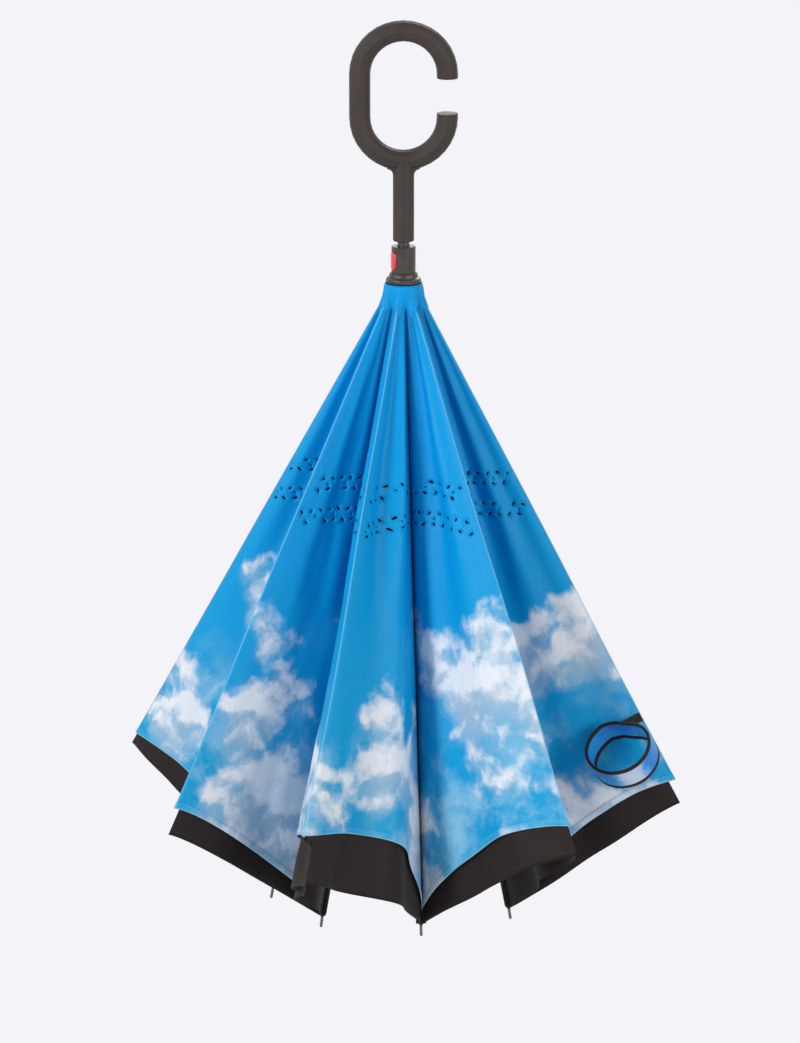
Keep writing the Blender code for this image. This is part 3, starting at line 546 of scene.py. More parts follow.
SKY, BLACK_CLOTH, STRAP_CLOTH = sky_cloth(), black_cloth(), strap_cloth()
BLUE_THREAD = thread("blue_thread", (0.10, 0.42, 0.66), (0.20, 0.56, 0.76))
BLACK_THREAD = thread("black_thread", (0.010, 0.009, 0.008), (0.030, 0.026, 0.024))

for material, names in (
    (soft_grip(), ["handle"]),
    (coated_steel(), ["shaft", "button_spring"] + [f"stretcher_{k}" for k in RIBS]),
    (moulded_plastic(), ["top_notch", "ferrule", "runner_housing", "canopy_collar", "rib_hub"]),
    (red_button(), ["release_button"]),
    (rib_rod(), [f"rib_{k}" for k in RIBS]),
):
    for name in names:
        for material_slot in NODES[name].material_slots:
            material_slot.material = material


# ---------------------------------------------------------------- meshes

def mesh_object(name, points, faces, material, attributes=None, thickness=0.0, offset=-1.0):
    mesh = bpy.data.meshes.new(name)
    points = [tuple(map(float, point)) for point in np.reshape(points, (-1, 3))]
    mesh.from_pydata(points, [], [tuple(map(int, face)) for face in faces])
    mesh.validate()
    mesh.update()
    mesh.shade_smooth()
    mesh.materials.append(material)
    for key, values in (attributes or {}).items():
        values = np.asarray(values, np.float32)
        kind, field = ("FLOAT", "value") if values.ndim == 1 else ("FLOAT_VECTOR", "vector")
        mesh.attributes.new(key, kind, "POINT").data.foreach_set(field, values.ravel())
    obj = bpy.data.objects.new(name, mesh)
    bpy.context.scene.collection.objects.link(obj)
    if thickness:
        solid = obj.modifiers.new("cloth", "SOLIDIFY")
        solid.thickness, solid.offset, solid.use_even_offset = thickness, offset, False
    return obj


def grid_faces(columns, rows, flip=False):
    faces = []
    for i in range(columns - 1):
        for j in range(rows - 1):
            a, b = i * rows + j, (i + 1) * rows + j
            faces.append((a + 1, b + 1, b, a) if flip else (a, b, b + 1, a + 1))
    return faces


def ring_faces(rings, count, downward=False):
    """Faces between closed rings of points."""
    faces = []
    for r in range(rings - 1):
        for i in range(count):
            a, b = r * count + i, r * count + (i + 1) % count
            faces.append((a, a + count, b + count, b) if downward else (a, b, b + count, a + count))
    return faces


def plain_marks(cut, hem=FAR):
    return {"cut": cut, "hem": np.full(len(cut), hem)}


def sky_marks(half, cut, hem, fold):
    """A printed piece's cut, place on the print, and distances from hem and fold."""
    return {"cut": cut, "sky": sky_place(half, cut[:, 0], cut[:, 1]), "hem": hem, "fold": fold}


def sky_place(half, reach, width):
    """Where a point of the cut lies on the whole canopy's flat print."""
    radius = np.hypot(reach, width)
    turn = rib_azimuth(half.k) + half.side * np.arctan2(width, reach + 1e-6) * (22.5 / 19.25)
    return circle(turn, radius, 0.0)


def hem_reach(at_rib, at_fold, share, power):
    """The hem sags from rib to rib, so it is level at the fold and steep at the rib."""
    return at_fold + (at_rib - at_fold) * (1.0 - share) ** power


def squash_flat(obj):
    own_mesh(obj)


# Ventilation holes: two bands of leaf shapes, each of two rows and a few small ones between
LEAF = [(math.cos(t), math.sin(t) * 0.48 * (1.0 - 0.25 * math.cos(t))) for t in np.linspace(0.0, TAU, 13)[:-1]]
LEAF_BANDS = (0.1700, 0.1975)
LEAF_ROWS = ((-0.0048, True), (0.0050, True), (0.0002, False))
LEAF_PITCH, LEAF_ROOM = 0.0086, 0.0009


def leaf_holes(half):
    """Outlines of the ventilation holes, in the cut's own coordinates."""
    rng = seeded("leaf", half.k, half.side)
    outlines = []
    for base in LEAF_BANDS:
        spot = 0.0042 + 0.002 * rng.random()
        index = rng.randrange(2)
        while True:
            reach = base + 0.0105 * (spot / 0.075) ** 2
            limit = float(half.edge_width(reach)) - 0.0045
            if spot > limit:
                break
            for row, big in LEAF_ROWS:
                lean = (0.9 if (index + (row > 0.002)) % 2 else -0.7) + 0.25 * rng.uniform(-1, 1)
                size = (0.0020 if big else 0.0010) * rng.uniform(0.8, 1.1)
                across = spot + (0.0040 if row > 0.002 else 0.0) + (0.0042 if not big else 0.0)
                if across > limit or (not big and index % 2) or rng.random() < 0.14:
                    continue
                x0, y0 = reach + row + 0.0005 * rng.uniform(-1, 1), across
                cos, sin = math.cos(lean), math.sin(lean)
                outlines.append([
                    (x0 + size * (x * cos - y * sin), y0 + size * (x * sin + y * cos)) for x, y in LEAF
                ])
            spot += LEAF_PITCH
            index += 1
    return outlines


def inside(point, outline):
    hit, last = False, outline[-1]
    for here in outline:
        if (here[1] > point[1]) != (last[1] > point[1]):
            cut = here[0] + (point[1] - here[1]) * (last[0] - here[0]) / (last[1] - here[1])
            if point[0] < cut:
                hit = not hit
        last = here
    return hit


def near(point, outline, room):
    centre = (sum(p[0] for p in outline) / len(outline), sum(p[1] for p in outline) / len(outline))
    return math.dist(centre, point) < max(math.dist(centre, p) for p in outline) + room


COLUMNS, ROWS = 37, 104


def blue_cloth(half):
    """One half gore of the printed cloth, with its ventilation holes cut out."""
    corner = half.corner(INNER_HEM_FOLD)
    flat = []
    for share in evenly(COLUMNS):
        end = hem_reach(INNER_HEM_RIB, corner, share, half.power)
        reach = INNER_TOP + (end - INNER_TOP) * evenly(ROWS)
        flat += list(zip(reach.tolist(), (share * half.edge_width(reach)).tolist()))
    last = (COLUMNS - 1) * ROWS
    loop = [*range(0, last + 1, ROWS), *range(last + 1, last + ROWS)]
    loop += [*range(last - 1, 0, -ROWS), *range(ROWS - 2, 0, -1)]
    rim, holes = set(loop), leaf_holes(half)
    kept, number = [], {}
    for index, place in enumerate(flat):
        if index in rim or not any(near(place, outline, LEAF_ROOM) for outline in holes):
            number[index] = len(kept)
            kept.append(place)
    edges = [(number[a], number[b]) for a, b in zip(loop, loop[1:] + loop[:1])]
    for outline in holes:
        first = len(kept)
        kept += outline
        edges += [(first + i, first + (i + 1) % len(LEAF)) for i in range(len(LEAF))]
    points, _, faces, _, _, _ = delaunay_2d_cdt([Vector(p) for p in kept], edges, [], 1, 1e-7)
    flat = np.array([tuple(p) for p in points])
    reach, width = flat[:, 0], flat[:, 1]
    share = np.clip(width / np.maximum(half.edge_width(reach), 1e-5), 0.0, 1.0)
    boxes = [(*np.min(o, 0), *np.max(o, 0), o) for o in holes]
    wanted = []
    for face in faces:
        centre = flat[list(face)].mean(0)
        if not any(a < centre[0] < b and c < centre[1] < d and inside(centre, o) for a, c, b, d, o in boxes):
            wanted.append(face if half.side < 0 else tuple(reversed(face)))
    hem = hem_reach(INNER_HEM_RIB, corner, share, half.power) - reach
    fold = (1.0 - share) * half.edge_width(reach)
    obj = mesh_object(
        f"blue_cloth_{half.name}", half.rest(reach, width), wanted, SKY,
        sky_marks(half, np.column_stack((flat, reach * 0)), hem * HEM_SLANT, fold), thickness=CLOTH,
    )
    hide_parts(f"inner_panel_{half.name}")
    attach(obj, half.body)
    return obj, corner


class Behind:
    """The outer cloth of one half gore, kept just behind the printed cloth."""

    def __init__(self, k, side):
        self.blue = BLUE[(k, side)]
        self.plane = black_plane(self.blue)
        self.ridge = k if side > 0 else (k - 2) % 8 + 1
        self.blue_corner = self.blue.corner(INNER_HEM_FOLD)
        self.corner = self.blue.corner(OUTER_HEM_FOLD + OUTER_DROP[self.ridge])
        outward, sideways = ridge_frame(self.ridge)
        move = sideways * OUTER_SHIFT.get(self.ridge, 0.0) - outward * OUTER_INSET[self.ridge]
        # A fold that is only drawn in may do so out of sight, behind the printed hem
        start = self.blue_corner - (0.001 if self.ridge in OUTER_SHIFT else 0.014)
        apart = smooth(STEPS, start, start + 0.010)[:, None]
        self.curve = self.blue.plane.local(CURVES[self.ridge] + move * apart)

    def covered(self, reach):
        """One where the printed cloth's fold is in front, nought below its corner."""
        return 1.0 - smooth(reach, self.blue_corner - 0.010, self.blue_corner + 0.004)

    def edge(self, reach):
        """Width and height, in the printed cloth's own plane, of the black fold."""
        width = np.interp(reach, self.curve[0], self.curve[1]) - 0.00025 * self.covered(reach)
        return width, np.interp(reach, self.curve[0], self.curve[2])

    def depth(self, reach, width):
        """How far behind the printed cloth: the folds' own wedge leaves no more room."""
        near_fold = np.maximum(self.blue.edge_width(reach) - width, 0.0)
        cad = -(self.plane.level + self.plane.slope * width)
        cad = cad * (1.0 - at_tip(reach) * (1.0 - smooth(width, 0.0, 0.030)))
        return np.minimum(cad, 0.00022 * self.covered(reach) + 0.16 * near_fold)

    def hem(self, share):
        return hem_reach(OUTER_HEM_RIB, self.corner, share, BLACK_POWER)

    def place(self, reach, share, flutter=0.0):
        """Points at a share of the black cloth's width, flat and at rest."""
        slope, level = self.plane.slope, self.plane.level
        stretch = math.sqrt(1.0 + slope * slope)
        edge_width, edge_height = self.edge(reach)
        across = share * ((edge_width + (edge_height - level) * slope) / stretch)
        width = across * stretch
        end_gap = edge_height - (self.blue.height(reach, edge_width) - self.depth(reach, edge_width))
        for _ in range(4):
            height = self.blue.height(reach, width) - self.depth(reach, width)
            height = height + end_gap * share ** 5 + flutter
            width = across * stretch - (height - level) * slope
        return across, self.blue.plane.point(reach, width, height)


def at_tip(reach):
    """How much of its depth behind the seam the black cloth loses towards the rib's tip."""
    return 0.74 * smooth(reach, 0.505, 0.556)


BLACK = {key: Behind(*key) for key in BLUE}


def black_layer(behind):
    """One half gore of the outer cloth, from the stretcher's joint to its own lower hem."""
    half, rows = behind.blue, 72
    shares = np.concatenate((np.linspace(0.0, 0.9, 28), np.linspace(0.92, 1.0, 5)))
    share = np.repeat(shares, rows)
    reach = OUTER_TOP + (behind.hem(share) - OUTER_TOP) * np.tile(evenly(rows), len(shares))
    blue_hem = hem_reach(INNER_HEM_RIB, behind.blue_corner, share, half.power)
    rng = seeded("black hem", half.k, half.side)
    wave = np.sin(math.pi * share) * sum(
        rng.uniform(0.5, 1.0) * np.sin(WAVE * rng.uniform(1.5, 3.5) * share + rng.uniform(0, 6.28))
        for _ in range(3)
    )
    flutter = 0.0011 * wave * smooth(reach, blue_hem - 0.004, blue_hem + 0.030)
    across, points = behind.place(reach, share, flutter)
    obj = mesh_object(
        f"black_cloth_{half.name}", points, grid_faces(len(shares), rows, half.side < 0), BLACK_CLOTH,
        plain_marks(np.column_stack((reach, across, across * 0)), (behind.hem(share) - reach) * HEM_SLANT),
        thickness=CLOTH,
    )
    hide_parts(f"outer_panel_{half.name}")
    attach(obj, half.body)
    return obj


# The hem band's section, as (distance above the hem, height over the cloth)
HEM_BAND = (
    (0.0060, 0.0), (0.0058, 0.00030), (0.0040, 0.00038), (0.0020, 0.00036), (0.0004, 0.00032),
    (-0.0002, -0.0001),
)
HEM_COLUMNS = 61


def hem_line(half, inset):
    """Cut places along the printed cloth's hem, this far above it."""
    share = evenly(HEM_COLUMNS)
    reach = hem_reach(INNER_HEM_RIB, half.corner(INNER_HEM_FOLD), share, half.power) - inset
    return reach, share * half.edge_width(reach)


def hem_band(half):
    """The turned-up strip along the printed hem."""
    lines = [hem_line(half, inset) for inset, _ in HEM_BAND]
    reach, width = (np.stack(column, 1) for column in zip(*lines))
    hem, lift = (np.broadcast_to(column, reach.shape) for column in zip(*HEM_BAND))
    flat = np.column_stack((reach.ravel(), width.ravel(), np.zeros(reach.size)))
    band = mesh_object(
        f"blue_hem_{half.name}", half.rest(reach, width, lift),
        grid_faces(HEM_COLUMNS, len(HEM_BAND), half.side < 0), SKY,
        sky_marks(half, flat, hem.ravel(), half.edge_width(flat[:, 0]) - flat[:, 1]), thickness=CLOTH,
    )
    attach(band, half.body)
    squash_flat(band)
    return band


# A stitch's four sections, as (place along it, size), and its outline, as (across, over the cloth)
STITCH_RINGS = ((0.0, 0.0), (0.3, 1.0), (0.7, 1.0), (1.0, 0.0))
STITCH_WIDTH, STITCH_RISE, STITCH_SUNK = 0.00042, 0.00022, 0.0001


def stitched(name, path, normals, material, pitch=0.0031, length=0.0021):
    """A row of raised stitches along a path, as one mesh."""
    normals = np.broadcast_to(normals, path.shape)
    steps = np.linalg.norm(np.diff(path, axis=0), axis=1)
    run = np.concatenate(([0.0], np.cumsum(steps)))
    points, faces = [], []
    for start in np.arange(pitch * 0.5, run[-1] - length, pitch):
        ends = (start, start + length)
        first, last = (np.array([np.interp(d, run, path[:, a]) for a in range(3)]) for d in ends)
        normal = unit(np.array([np.interp(start, run, normals[:, a]) for a in range(3)]))
        across = unit(np.cross(normal, unit(last - first)))
        base = len(points)
        for t, size in STITCH_RINGS:
            end = first * (1.0 - t) + last * t
            half_width, top = STITCH_WIDTH * (0.35 + 0.15 * size), STITCH_RISE * (0.15 + 0.85 * size)
            for x, rise in ((-1.0, -STITCH_SUNK), (-0.6, top), (0.6, top), (1.0, -STITCH_SUNK)):
                points.append(end + across * half_width * x + normal * rise)
        faces += [tuple(base + i for i in face) for face in ring_faces(4, 4, True)]
        faces += [(base, base + 1, base + 2, base + 3), (base + 15, base + 14, base + 13, base + 12)]
    return mesh_object(name, points, faces, material)


def stitch_row(name, half, plane, path, material):
    row = stitched(f"{name}_{half.name}", path, plane.normal, material)
    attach(row, half.body)
    squash_flat(row)
    return row


def hem_stitches(half):
    reach, width = hem_line(half, 0.0048)
    return stitch_row("blue_stitches", half, half.plane, half.rest(reach, width, 0.00042), BLUE_THREAD)


def black_stitches(behind):
    share = np.linspace(0.01, 0.985, 50)
    _, path = behind.place(behind.hem(share) - 0.0042, share)
    path = path + behind.plane.normal * 0.0001
    return stitch_row("black_stitches", behind.blue, behind.plane, path, BLACK_THREAD)


def tube(name, path, normals, widths, heights, material, sides, closed=False, attributes=None):
    """A flattened tube along a path; widths and heights are half sizes."""
    tangents = np.roll(path, -1, 0) - np.roll(path, 1, 0) if closed else np.gradient(path, axis=0)
    points, faces, count = [], [], len(path)
    normals = np.broadcast_to(normals, path.shape)
    widths, heights = np.broadcast_to(widths, count), np.broadcast_to(heights, count)
    for here, tangent, normal, half_width, half_height in zip(path, tangents, normals, widths, heights):
        normal = unit(normal - unit(tangent) * (normal @ unit(tangent)))
        across = np.cross(unit(tangent), normal)
        for c in range(sides):
            x, y = math.cos(TAU * c / sides), math.sin(TAU * c / sides)
            x, y = math.copysign(abs(x) ** 0.7, x), math.copysign(abs(y) ** 0.7, y)
            points.append(here + across * half_width * x + normal * half_height * y)
    for i in range(count if closed else count - 1):
        for c in range(sides):
            a, b = i * sides + c, i * sides + (c + 1) % sides
            a2, b2 = (i + 1) % count * sides + c, (i + 1) % count * sides + (c + 1) % sides
            faces.append((a, b, b2, a2))
    if not closed:
        faces += [tuple(range(sides))[::-1], tuple(range((count - 1) * sides, count * sides))]
    return mesh_object(name, points, faces, material, attributes)


def rib_outward(k):
    return unit(BLUE[(k, 1)].plane.normal + BLUE[(k, -1)].plane.normal)


def rib_tube(name, k, reach, path, widths, heights, material, sides, hem=FAR):
    """A flattened tube of cloth along one rib."""
    flat = np.repeat(np.column_stack((reach, reach * 0, reach * 0)), sides, 0)
    marks = plain_marks(flat, hem)
    if material is SKY:
        marks = sky_marks(BLUE[(k, 1)], flat, marks["hem"], marks["hem"])
    piece = tube(f"{name}_{k}", path, rib_outward(k), widths, heights, material, sides, attributes=marks)
    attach(piece, f"rib_{k}")


def rib_trims(k):
    """The welt of the printed seam, the black tape behind the rib, and the pocket at its tip."""
    plane, out = BLUE[(k, 1)].plane, rib_outward(k)
    reach = np.linspace(INNER_TOP, INNER_HEM_RIB - 0.0005, 90)
    path = plane.origin + np.outer(reach, plane.along) + out * 0.00015
    rib_tube("seam_welt", k, reach, path, 0.0009, 0.00055, SKY, 8)
    reach = np.linspace(OUTER_TOP, OUTER_HEM_RIB - 0.001, 60)
    depth = 0.0052 * (1.0 - at_tip(reach))
    path = plane.origin + np.outer(reach, plane.along) - np.outer(depth, out)
    rib_tube("seam_tape", k, reach, path, 0.0046, 0.00025, BLACK_CLOTH, 10)
    reach, t = np.linspace(0.5335, 0.5615, 22), evenly(22)
    pivot = np.array(JOINTS[f"rib_{k}"]["pos_m"])
    path = pivot + np.outer(reach, plane.along) + np.outer(0.0006 * (1.0 - t), out)
    closing = 1.0 - 0.72 * smooth(t, 0.86, 1.0)
    widths, heights = (0.0052 - 0.0022 * t) * closing, (0.0036 - 0.0008 * t) * closing
    rib_tube("tip_pocket", k, reach, path, widths, heights, BLACK_CLOTH, 14, 0.004)


# ---------------------------------------------------------------- crown of the outer cloth

CROWN_RING, CROWN_LEVEL = 0.031, -0.7378
CROWN_TOP = OUTER_TOP + 0.002
CROWN_LENGTH = 0.30
# The folded flap hangs along its stretcher, which leans this much when the umbrella is closed
STRETCHER_LEAN, FLAP_LENGTH, FLAP_SEAT = math.radians(10.78), 0.262, 0.0045


class Crown:
    """The outer cloth between the notch and the stretchers' joints: its open plane."""

    def __init__(self, behind):
        self.behind, self.half = behind, behind.blue
        k, plane = self.half.k, self.half.plane
        self.turn, self.shift = opened(self.half.body)
        outward, _ = azimuth_frame(rib_azimuth(k))
        fold_out, _ = ridge_frame(behind.ridge)
        rib_turn, rib_shift = opened(f"rib_{k}")
        seam = plane.origin + plane.along * CROWN_TOP - rib_outward(k) * 0.0054
        self.seam_top = rib_turn @ seam + rib_shift
        across, _ = behind.place(np.array([CROWN_TOP]), np.array([1.0]))
        self.fold_top = self.turn @ behind.plane.point(CROWN_TOP, across[0], 0.0) + self.shift
        self.seam_ring = outward * CROWN_RING + UP * CROWN_LEVEL
        normal = unit(np.cross(self.fold_top - self.seam_top, self.seam_ring - self.seam_top))
        self.normal = normal if normal[2] < 0 else -normal
        flat = fold_out * CROWN_RING
        self.fold_ring = flat + UP * ((self.normal @ self.seam_top - self.normal @ flat) / self.normal[2])

    def sheet(self, down, share):
        seam = self.seam_ring + (self.seam_top - self.seam_ring) * down[..., None]
        fold = self.fold_ring + (self.fold_top - self.fold_ring) * down[..., None]
        return seam + (fold - seam) * share[..., None]


def crown_half(crown):
    """The crown's cloth at full width, tucked under the printed cloth while the umbrella is folded."""
    half, columns, rows = crown.half, 17, 40
    down, share = grid(evenly(rows), evenly(columns))
    flat = (crown.sheet(down, share) - crown.shift) @ crown.turn
    normal = crown.normal @ crown.turn
    pull, lift = np.zeros(down.shape), np.zeros(down.shape)
    for _ in range(8):
        points = flat + normal * lift[..., None] - half.plane.across * pull[..., None]
        reach, width, height = half.plane.local(points)
        target = half.height(reach, width) - crown.behind.depth(reach, width) - 0.0002
        lift += (target - height) / (normal @ half.plane.normal)
        over = width[:, -1] - (half.edge_width(reach[:, -1]) - 0.0009)
        pull += over[:, None] * evenly(columns)
    across = np.linalg.norm(crown.sheet(down, share) - crown.sheet(down, share * 0), axis=-1)
    cut = np.stack((down * CROWN_LENGTH, across, across * 0), -1).reshape(-1, 3)
    obj = mesh_object(
        f"black_crown_{half.name}", points, grid_faces(rows, columns, half.side > 0), BLACK_CLOTH,
        plain_marks(cut, cut[:, 0] + FAR), thickness=CLOTH,
    )
    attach(obj, half.body)
    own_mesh(obj)


def crown_flap(crown):
    """The crown's cloth as it hangs folded along its stretcher."""
    half, rows, columns = crown.half, 30, 13
    k, body = half.k, f"stretcher_{half.k}"
    turn, shift = opened(body)
    outward, _ = azimuth_frame(rib_azimuth(k))
    sin, cos = math.sin(STRETCHER_LEAN), math.cos(STRETCHER_LEAN)
    line, inner = outward * sin + UP * cos, -outward * cos + UP * sin
    fold = crown.behind.place(np.array([OUTER_TOP + 0.001]), np.array([0.985]))[1][0]
    down, share = grid(evenly(rows), evenly(columns))
    pivot = np.array(JOINTS[body]["pos_m"])
    seam = pivot + inner * FLAP_SEAT + line * 0.001 + np.multiply.outer(down, line * FLAP_LENGTH)
    low = seam[0, 0] + (fold - seam[-1, 0]) * 0.05
    points = seam + (low + np.multiply.outer(down, fold - low) - seam) * share[..., None]
    bow = np.sin(math.pi * share) * (0.0015 + 0.004 * down) * np.sin(2.5 * down + k)
    normal = unit(np.cross(line, fold - seam[-1, 0]))
    points = points + normal * (bow * half.side)[..., None]
    cut = np.stack((down * 0.27, share * 0.11 * down, share * 0), -1).reshape(-1, 3)
    obj = mesh_object(
        f"crown_fold_{half.name}", points, grid_faces(rows, columns, half.side > 0), BLACK_CLOTH,
        plain_marks(cut, cut[:, 0] + FAR), thickness=CLOTH,
    )
    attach(obj, body)
    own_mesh(obj)


# Section of the crown's stitched middle, as (radius, level)
CENTRE = (
    (0.0078, -0.7372), (0.0084, -0.7384), (0.0120, -0.7388), (0.0170, -0.7388), (0.0225, -0.7387),
    (0.0280, -0.7384), (0.0315, -0.7380), (0.0335, -0.7374),
)


def crown_centre():
    """The stitched middle of the crown, round the ferrule."""
    count = 96
    turn = np.linspace(0.0, TAU, count, endpoint=False)
    pleat = np.cos(turn * 16.0)
    points = np.concatenate([
        circle(turn, radius, level + 0.0005 * pleat * min(1.0, (radius - CENTRE[0][0]) / 0.012))
        for radius, level in CENTRE
    ])
    centre = mesh_object(
        "crown_centre", points, ring_faces(len(CENTRE), count), BLACK_CLOTH, plain_marks(points * (1.0, 1.0, 0.0)),
        thickness=0.0006, offset=0.0,
    )
    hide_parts("outer_crown")
    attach(centre, "frame")
    ring = circle(turn, 0.0295, -0.7389)
    row = stitched("crown_stitches", np.vstack((ring, ring[:1])), -UP, BLACK_THREAD)
    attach(row, "frame")


SLEEVE_TOP, SLEEVE_END, SLEEVE_TOP_RADIUS = -0.2149, -0.2440, 0.0163


def sleeve():
    """The gathered top of the printed cloth, where the collar grips it."""
    count, rows = 192, 12
    rng = seeded("sleeve")
    phases = [(n, rng.uniform(0, 6.28), rng.uniform(0.6, 1.0)) for n in (19, 27, 41)]
    start = rib_azimuth(1)
    turn = start + np.linspace(0.0, TAU, count, endpoint=False)
    place = (turn - start) / (2 * HALF_GORE)
    rib = np.floor(place).astype(int) % 8
    share = 1.0 - np.abs(place - np.floor(place) - 0.5) * 2.0
    plane = BLUE[(1, 1)].plane
    points, cut = [], []
    for step in evenly(rows):
        level = SLEEVE_TOP + (SLEEVE_END - SLEEVE_TOP) * step
        ridge = np.array([np.interp(-level, -CURVES[k][:, 2], np.hypot(*CURVES[k].T[:2])) for k in RIBS])
        seam = np.hypot(*(plane.origin + plane.along * ((plane.origin[2] - level) / -plane.along[2]))[:2])
        free = seam + (ridge[rib] - seam) * share
        # A little outside the cloth at first, then just inside it
        low = smooth(step, 0.55, 1.0)
        room = 0.0013 * (1.0 - low) - 0.0012 * low
        ripple = sum(a * np.sin(n * turn + p) for n, p, a in phases)
        ripple = ripple * 0.00022 * math.sin(math.pi * min(step + 0.12, 1.0))
        radius = np.maximum(free + room, 0.0) + ripple
        grip = 1.0 - float(smooth(step, 0.0, 0.75))
        radius = radius * (1.0 - grip) + (SLEEVE_TOP_RADIUS + 0.010 * step + ripple) * grip
        points.append(circle(turn, radius, level))
        cut.append(np.column_stack((np.full(count, 0.03 * step), radius * (turn - start) + 0.1, np.zeros(count))))
    points, cut = np.concatenate(points), np.concatenate(cut)
    far = np.full(len(cut), FAR)
    marks = {"cut": cut, "sky": points * (1.0, 1.0, 0.0), "hem": far, "fold": far}
    obj = mesh_object("gathered_top", points, ring_faces(rows, count, True), SKY, marks, thickness=0.0004)
    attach(obj, "runner")
    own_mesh(obj)


for key, half in BLUE.items():
    cloth, corner = blue_cloth(half)
    squash_flat(cloth)
    trims = [hem_band(half), hem_stitches(half)]
    size = (float(half.edge_width(corner)), INNER_HEM_RIB - INNER_TOP)
    behind = BLACK[key]
    cloth = black_layer(behind)
    squash_flat(cloth)
    size = (float(half.edge_width(behind.corner)), OUTER_HEM_RIB - OUTER_TOP)
    black_stitches(behind)
    crown = Crown(behind)
    crown_half(crown)
    crown_flap(crown)
for k in RIBS:
    rib_trims(k)
crown_centre()
sleeve()


# ---------------------------------------------------------------- tie strap

STRAP_CENTRE = np.array((0.1927, -0.1073, -0.6161))
STRAP_AXIS = unit(np.array((-0.383, -0.561, 0.734)))
STRAP_UP = unit(UP - STRAP_AXIS * (UP @ STRAP_AXIS))
STRAP_SIDE = np.cross(STRAP_AXIS, STRAP_UP)
STRAP_RADIUS, STRAP_HALF = 0.0285, 0.0122
STRAP_KEY = (2, 1)
# The strap's end runs from near the fold to the loop, as shares of the cloth's width
END_START, END_STOP, END_REACH, END_HALF = 0.995, 0.83, 0.4033, 0.0040


def strap_bump(turn, centre, size, spread):
    return size * np.exp(-((np.angle(np.exp(1j * (turn - centre)))) / spread) ** 2)


def strap_loop():
    """A bound band closed into a loop: flattened where its ends are sewn, with a soft corner beside that."""
    count, columns = 96, 9
    turn = np.linspace(0.0, TAU, count, endpoint=False)
    radius = 1.0 - strap_bump(turn, 0.15, 0.10, 0.42) - 0.05 * np.cos(2 * turn)
    radius = STRAP_RADIUS * (radius + strap_bump(turn, 0.95, 0.035, 0.16))
    ring = np.outer(radius * np.cos(turn), STRAP_UP) + np.outer(radius * np.sin(turn), STRAP_SIDE)
    out = ring / np.linalg.norm(ring, axis=1)[:, None]
    ring = STRAP_CENTRE + ring
    points, cut = [], []
    for across in np.linspace(-1.0, 1.0, columns):
        points.append(ring + STRAP_AXIS * STRAP_HALF * across + out * (0.0007 * (1.0 - across * across)))
        cut.append(np.column_stack((turn * STRAP_RADIUS, np.full(count, STRAP_HALF * across), np.zeros(count))))
    band = mesh_object(
        "strap_band", np.concatenate(points), ring_faces(columns, count), STRAP_CLOTH, {"cut": np.concatenate(cut)},
        thickness=0.0011, offset=0.0,
    )
    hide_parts("tie_strap")
    pieces = [band]
    sides = 12
    flat = np.repeat(np.column_stack((turn * STRAP_RADIUS, turn * 0, turn * 0)), sides, 0)
    for name, edge, wide in (("strap_binding_upper", 1.0, 0.00185), ("strap_binding_lower", -1.0, 0.00215)):
        path = ring + STRAP_AXIS * (STRAP_HALF * edge * 0.90)
        pieces.append(tube(
            name, path, out, wide, 0.00135, BLACK_CLOTH, sides, closed=True, attributes=plain_marks(flat),
        ))
    for number, place in enumerate((0.42, 1.02)):
        outward = STRAP_UP * math.cos(place) + STRAP_SIDE * math.sin(place)
        face = STRAP_CENTRE + outward * (STRAP_RADIUS * 0.945 - 0.0009)
        path = face + np.outer(np.linspace(-0.0064, 0.0064, 12), STRAP_AXIS)
        pieces.append(stitched(f"strap_stitches_{number + 1}", path, -outward, BLUE_THREAD, 0.0016, 0.0012))
    return pieces


def on_strap_end(share, edge, rise):
    """Reach, width and rest places on the strap's end, which leaves the cloth towards the loop."""
    half = BLUE[STRAP_KEY]
    along = (END_START - share) / (END_START - END_STOP)
    reach = END_REACH + 0.005 * along + edge * END_HALF * (1.0 - 0.35 * along)
    width = share * half.edge_width(reach)
    return reach, width, half.rest(reach, width, rise + 0.0075 * along ** 2)


def strap_end():
    """The stitched black end that holds the loop to the cloth."""
    length, wide = 26, 9
    along, edge = grid(evenly(length), np.linspace(-1.0, 1.0, wide))
    share, rise = END_START + (END_STOP - END_START) * along, 0.0009 - 0.0004 * edge ** 4
    reach, width, points = on_strap_end(share, edge, rise)
    flat = np.stack((reach, width, width * 0), -1).reshape(-1, 3)
    end = mesh_object(
        "strap_end", points, grid_faces(length, wide, True), BLACK_CLOTH, plain_marks(flat),
        thickness=0.0011, offset=0.0,
    )
    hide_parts("strap_tab")
    pieces = [end]
    for word, edge in (("high", -0.8), ("low", 0.8)):
        _, _, path = on_strap_end(np.linspace(0.99, END_STOP + 0.010, 40), edge, 0.0014)
        normal = BLUE[STRAP_KEY].plane.normal
        pieces.append(stitched(f"strap_end_stitches_{word}", path, normal, BLACK_THREAD, 0.0022, 0.0015))
    return pieces


for piece in strap_loop() + strap_end():
    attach(piece, BLUE[STRAP_KEY].body)


# ---------------------------------------------------------------- camera, light and floor

BACKGROUND = rgb(0.920, 0.910, 0.953)
TILT, DISTANCE = math.radians(15.0), 5.0
CAMERA_X, CAMERA_LEVEL = -0.0031, -0.4331
# The lens in pixels, and half the longer side of the picture in the same pixels
FOCUS, HALF_PICTURE = 5610.0, 521.5
LAMP_TARGET = (0.0, 0.0, -0.45)

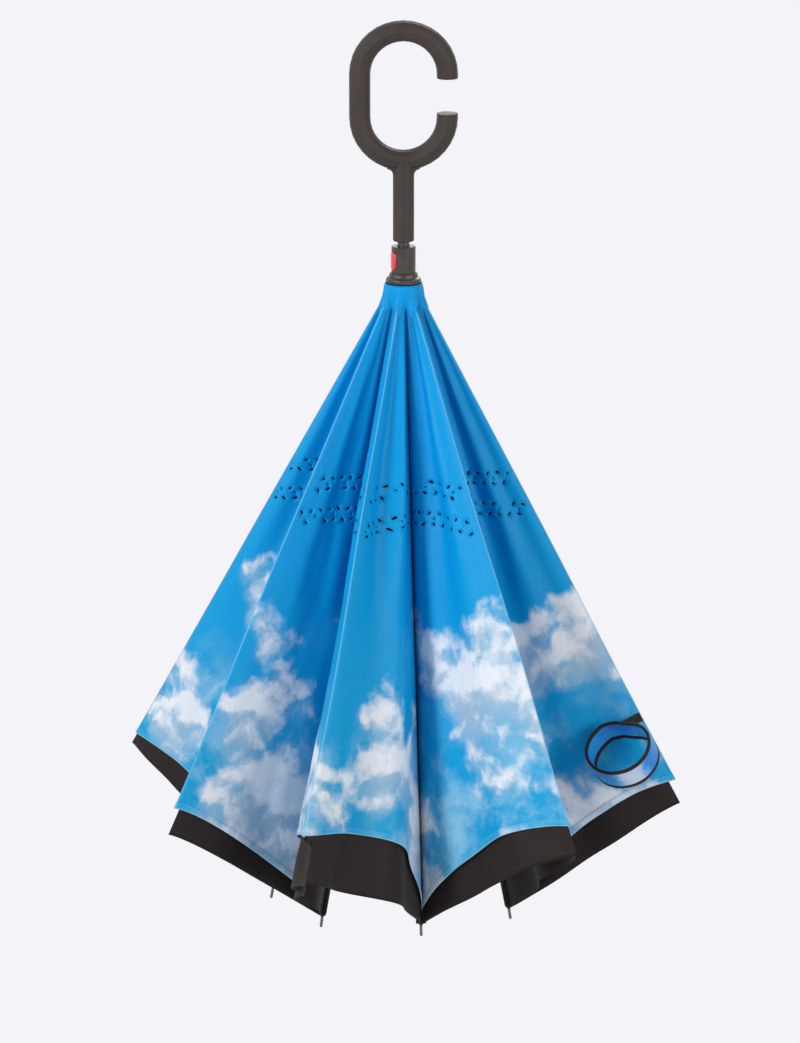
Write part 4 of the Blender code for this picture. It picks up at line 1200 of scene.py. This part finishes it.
camera = bpy.data.objects.new("camera", bpy.data.cameras.new("camera"))
bpy.context.scene.collection.objects.link(camera)
camera.location = (CAMERA_X, -DISTANCE * math.cos(TILT), CAMERA_LEVEL + DISTANCE * math.sin(TILT))
camera.rotation_euler = (math.pi / 2 - TILT, 0.0, 0.0)
camera.data.sensor_fit = "AUTO"
camera.data.sensor_width = 36.0
camera.data.lens = 18.0 * FOCUS / HALF_PICTURE
camera.data.clip_start, camera.data.clip_end = 0.05, 200.0
bpy.context.scene.camera = camera

for name, place, size, power in (
    ("key", (-3.0, -2.4, 1.5), 1.1, 110.0),
    ("fill", (2.8, -2.4, 0.5), 1.8, 49.0),
    ("back", (0.6, 3.2, 1.4), 1.6, 40.0),
):
    data = bpy.data.lights.new(name, "AREA")
    data.shape, data.size, data.energy = "DISK", size, power
    lamp = bpy.data.objects.new(name, data)
    bpy.context.scene.collection.objects.link(lamp)
    lamp.location = place
    lamp.rotation_euler = (Vector(LAMP_TARGET) - lamp.location).to_track_quat("-Z", "Y").to_euler()


def seen_directly(tree):
    """One for camera, glossy and transmission rays, which all see the plain backdrop."""
    path = tree.nodes.new("ShaderNodeLightPath")
    seen = path.outputs["Is Camera Ray"]
    for ray in ("Is Glossy Ray", "Is Transmission Ray"):
        either = tree.nodes.new("ShaderNodeMath")
        either.operation = "MAXIMUM"
        tree.links.new(seen, either.inputs[0])
        tree.links.new(path.outputs[ray], either.inputs[1])
        seen = either.outputs[0]
    return seen


def glow(tree, kind, colour, strength):
    node = tree.nodes.new(kind)
    node.inputs["Color"].default_value, node.inputs["Strength"].default_value = colour, strength
    return node.outputs[0]


def choose(tree, factor, first, second):
    node = tree.nodes.new("ShaderNodeMixShader")
    for socket, source in zip(node.inputs, (factor, first, second)):
        tree.links.new(source, socket)
    return node.outputs[0]


world = bpy.data.worlds.new("studio")
bpy.context.scene.world = world
world.use_nodes = True
tree = world.node_tree
tree.nodes.clear()
plain = glow(tree, "ShaderNodeBackground", rgb(1.0, 1.0, 1.0), 0.42)
backdrop = glow(tree, "ShaderNodeBackground", BACKGROUND, 1.0)
output = tree.nodes.new("ShaderNodeOutputWorld")
tree.links.new(choose(tree, seen_directly(tree), plain, backdrop), output.inputs["Surface"])


def floor_material():
    """Nearly the backdrop's own colour from above, with a trace of shadow, and clear from below."""
    m = Nodes("pale_floor", Roughness=0.9)
    mottle = m.noise(m.place(), 3.0, 3.0)
    m.link(m.mix(mottle, rgb(0.86, 0.85, 0.89), rgb(0.88, 0.87, 0.91)), "Base Color")
    share = m.maths("MULTIPLY", seen_directly(m.tree), 0.975)
    top = choose(m.tree, share, m.shader.outputs[0], glow(m.tree, "ShaderNodeEmission", BACKGROUND, 1.0))
    back = m.add("NewGeometry").outputs["Backfacing"]
    surface = choose(m.tree, back, top, m.add("BsdfTransparent").outputs[0])
    m.tree.links.new(surface, m.tree.nodes["Material Output"].inputs["Surface"])
    return m.material


FLOOR_LEVEL, FLOOR_HALF = -2.4, 60.0
corners = [(x * FLOOR_HALF, y * FLOOR_HALF, FLOOR_LEVEL) for x, y in ((-1, -1), (1, -1), (1, 1), (-1, 1))]
floor = mesh_object("floor", corners, [(0, 1, 2, 3)], floor_material())

bpy.context.scene.view_settings.view_transform = "Standard"
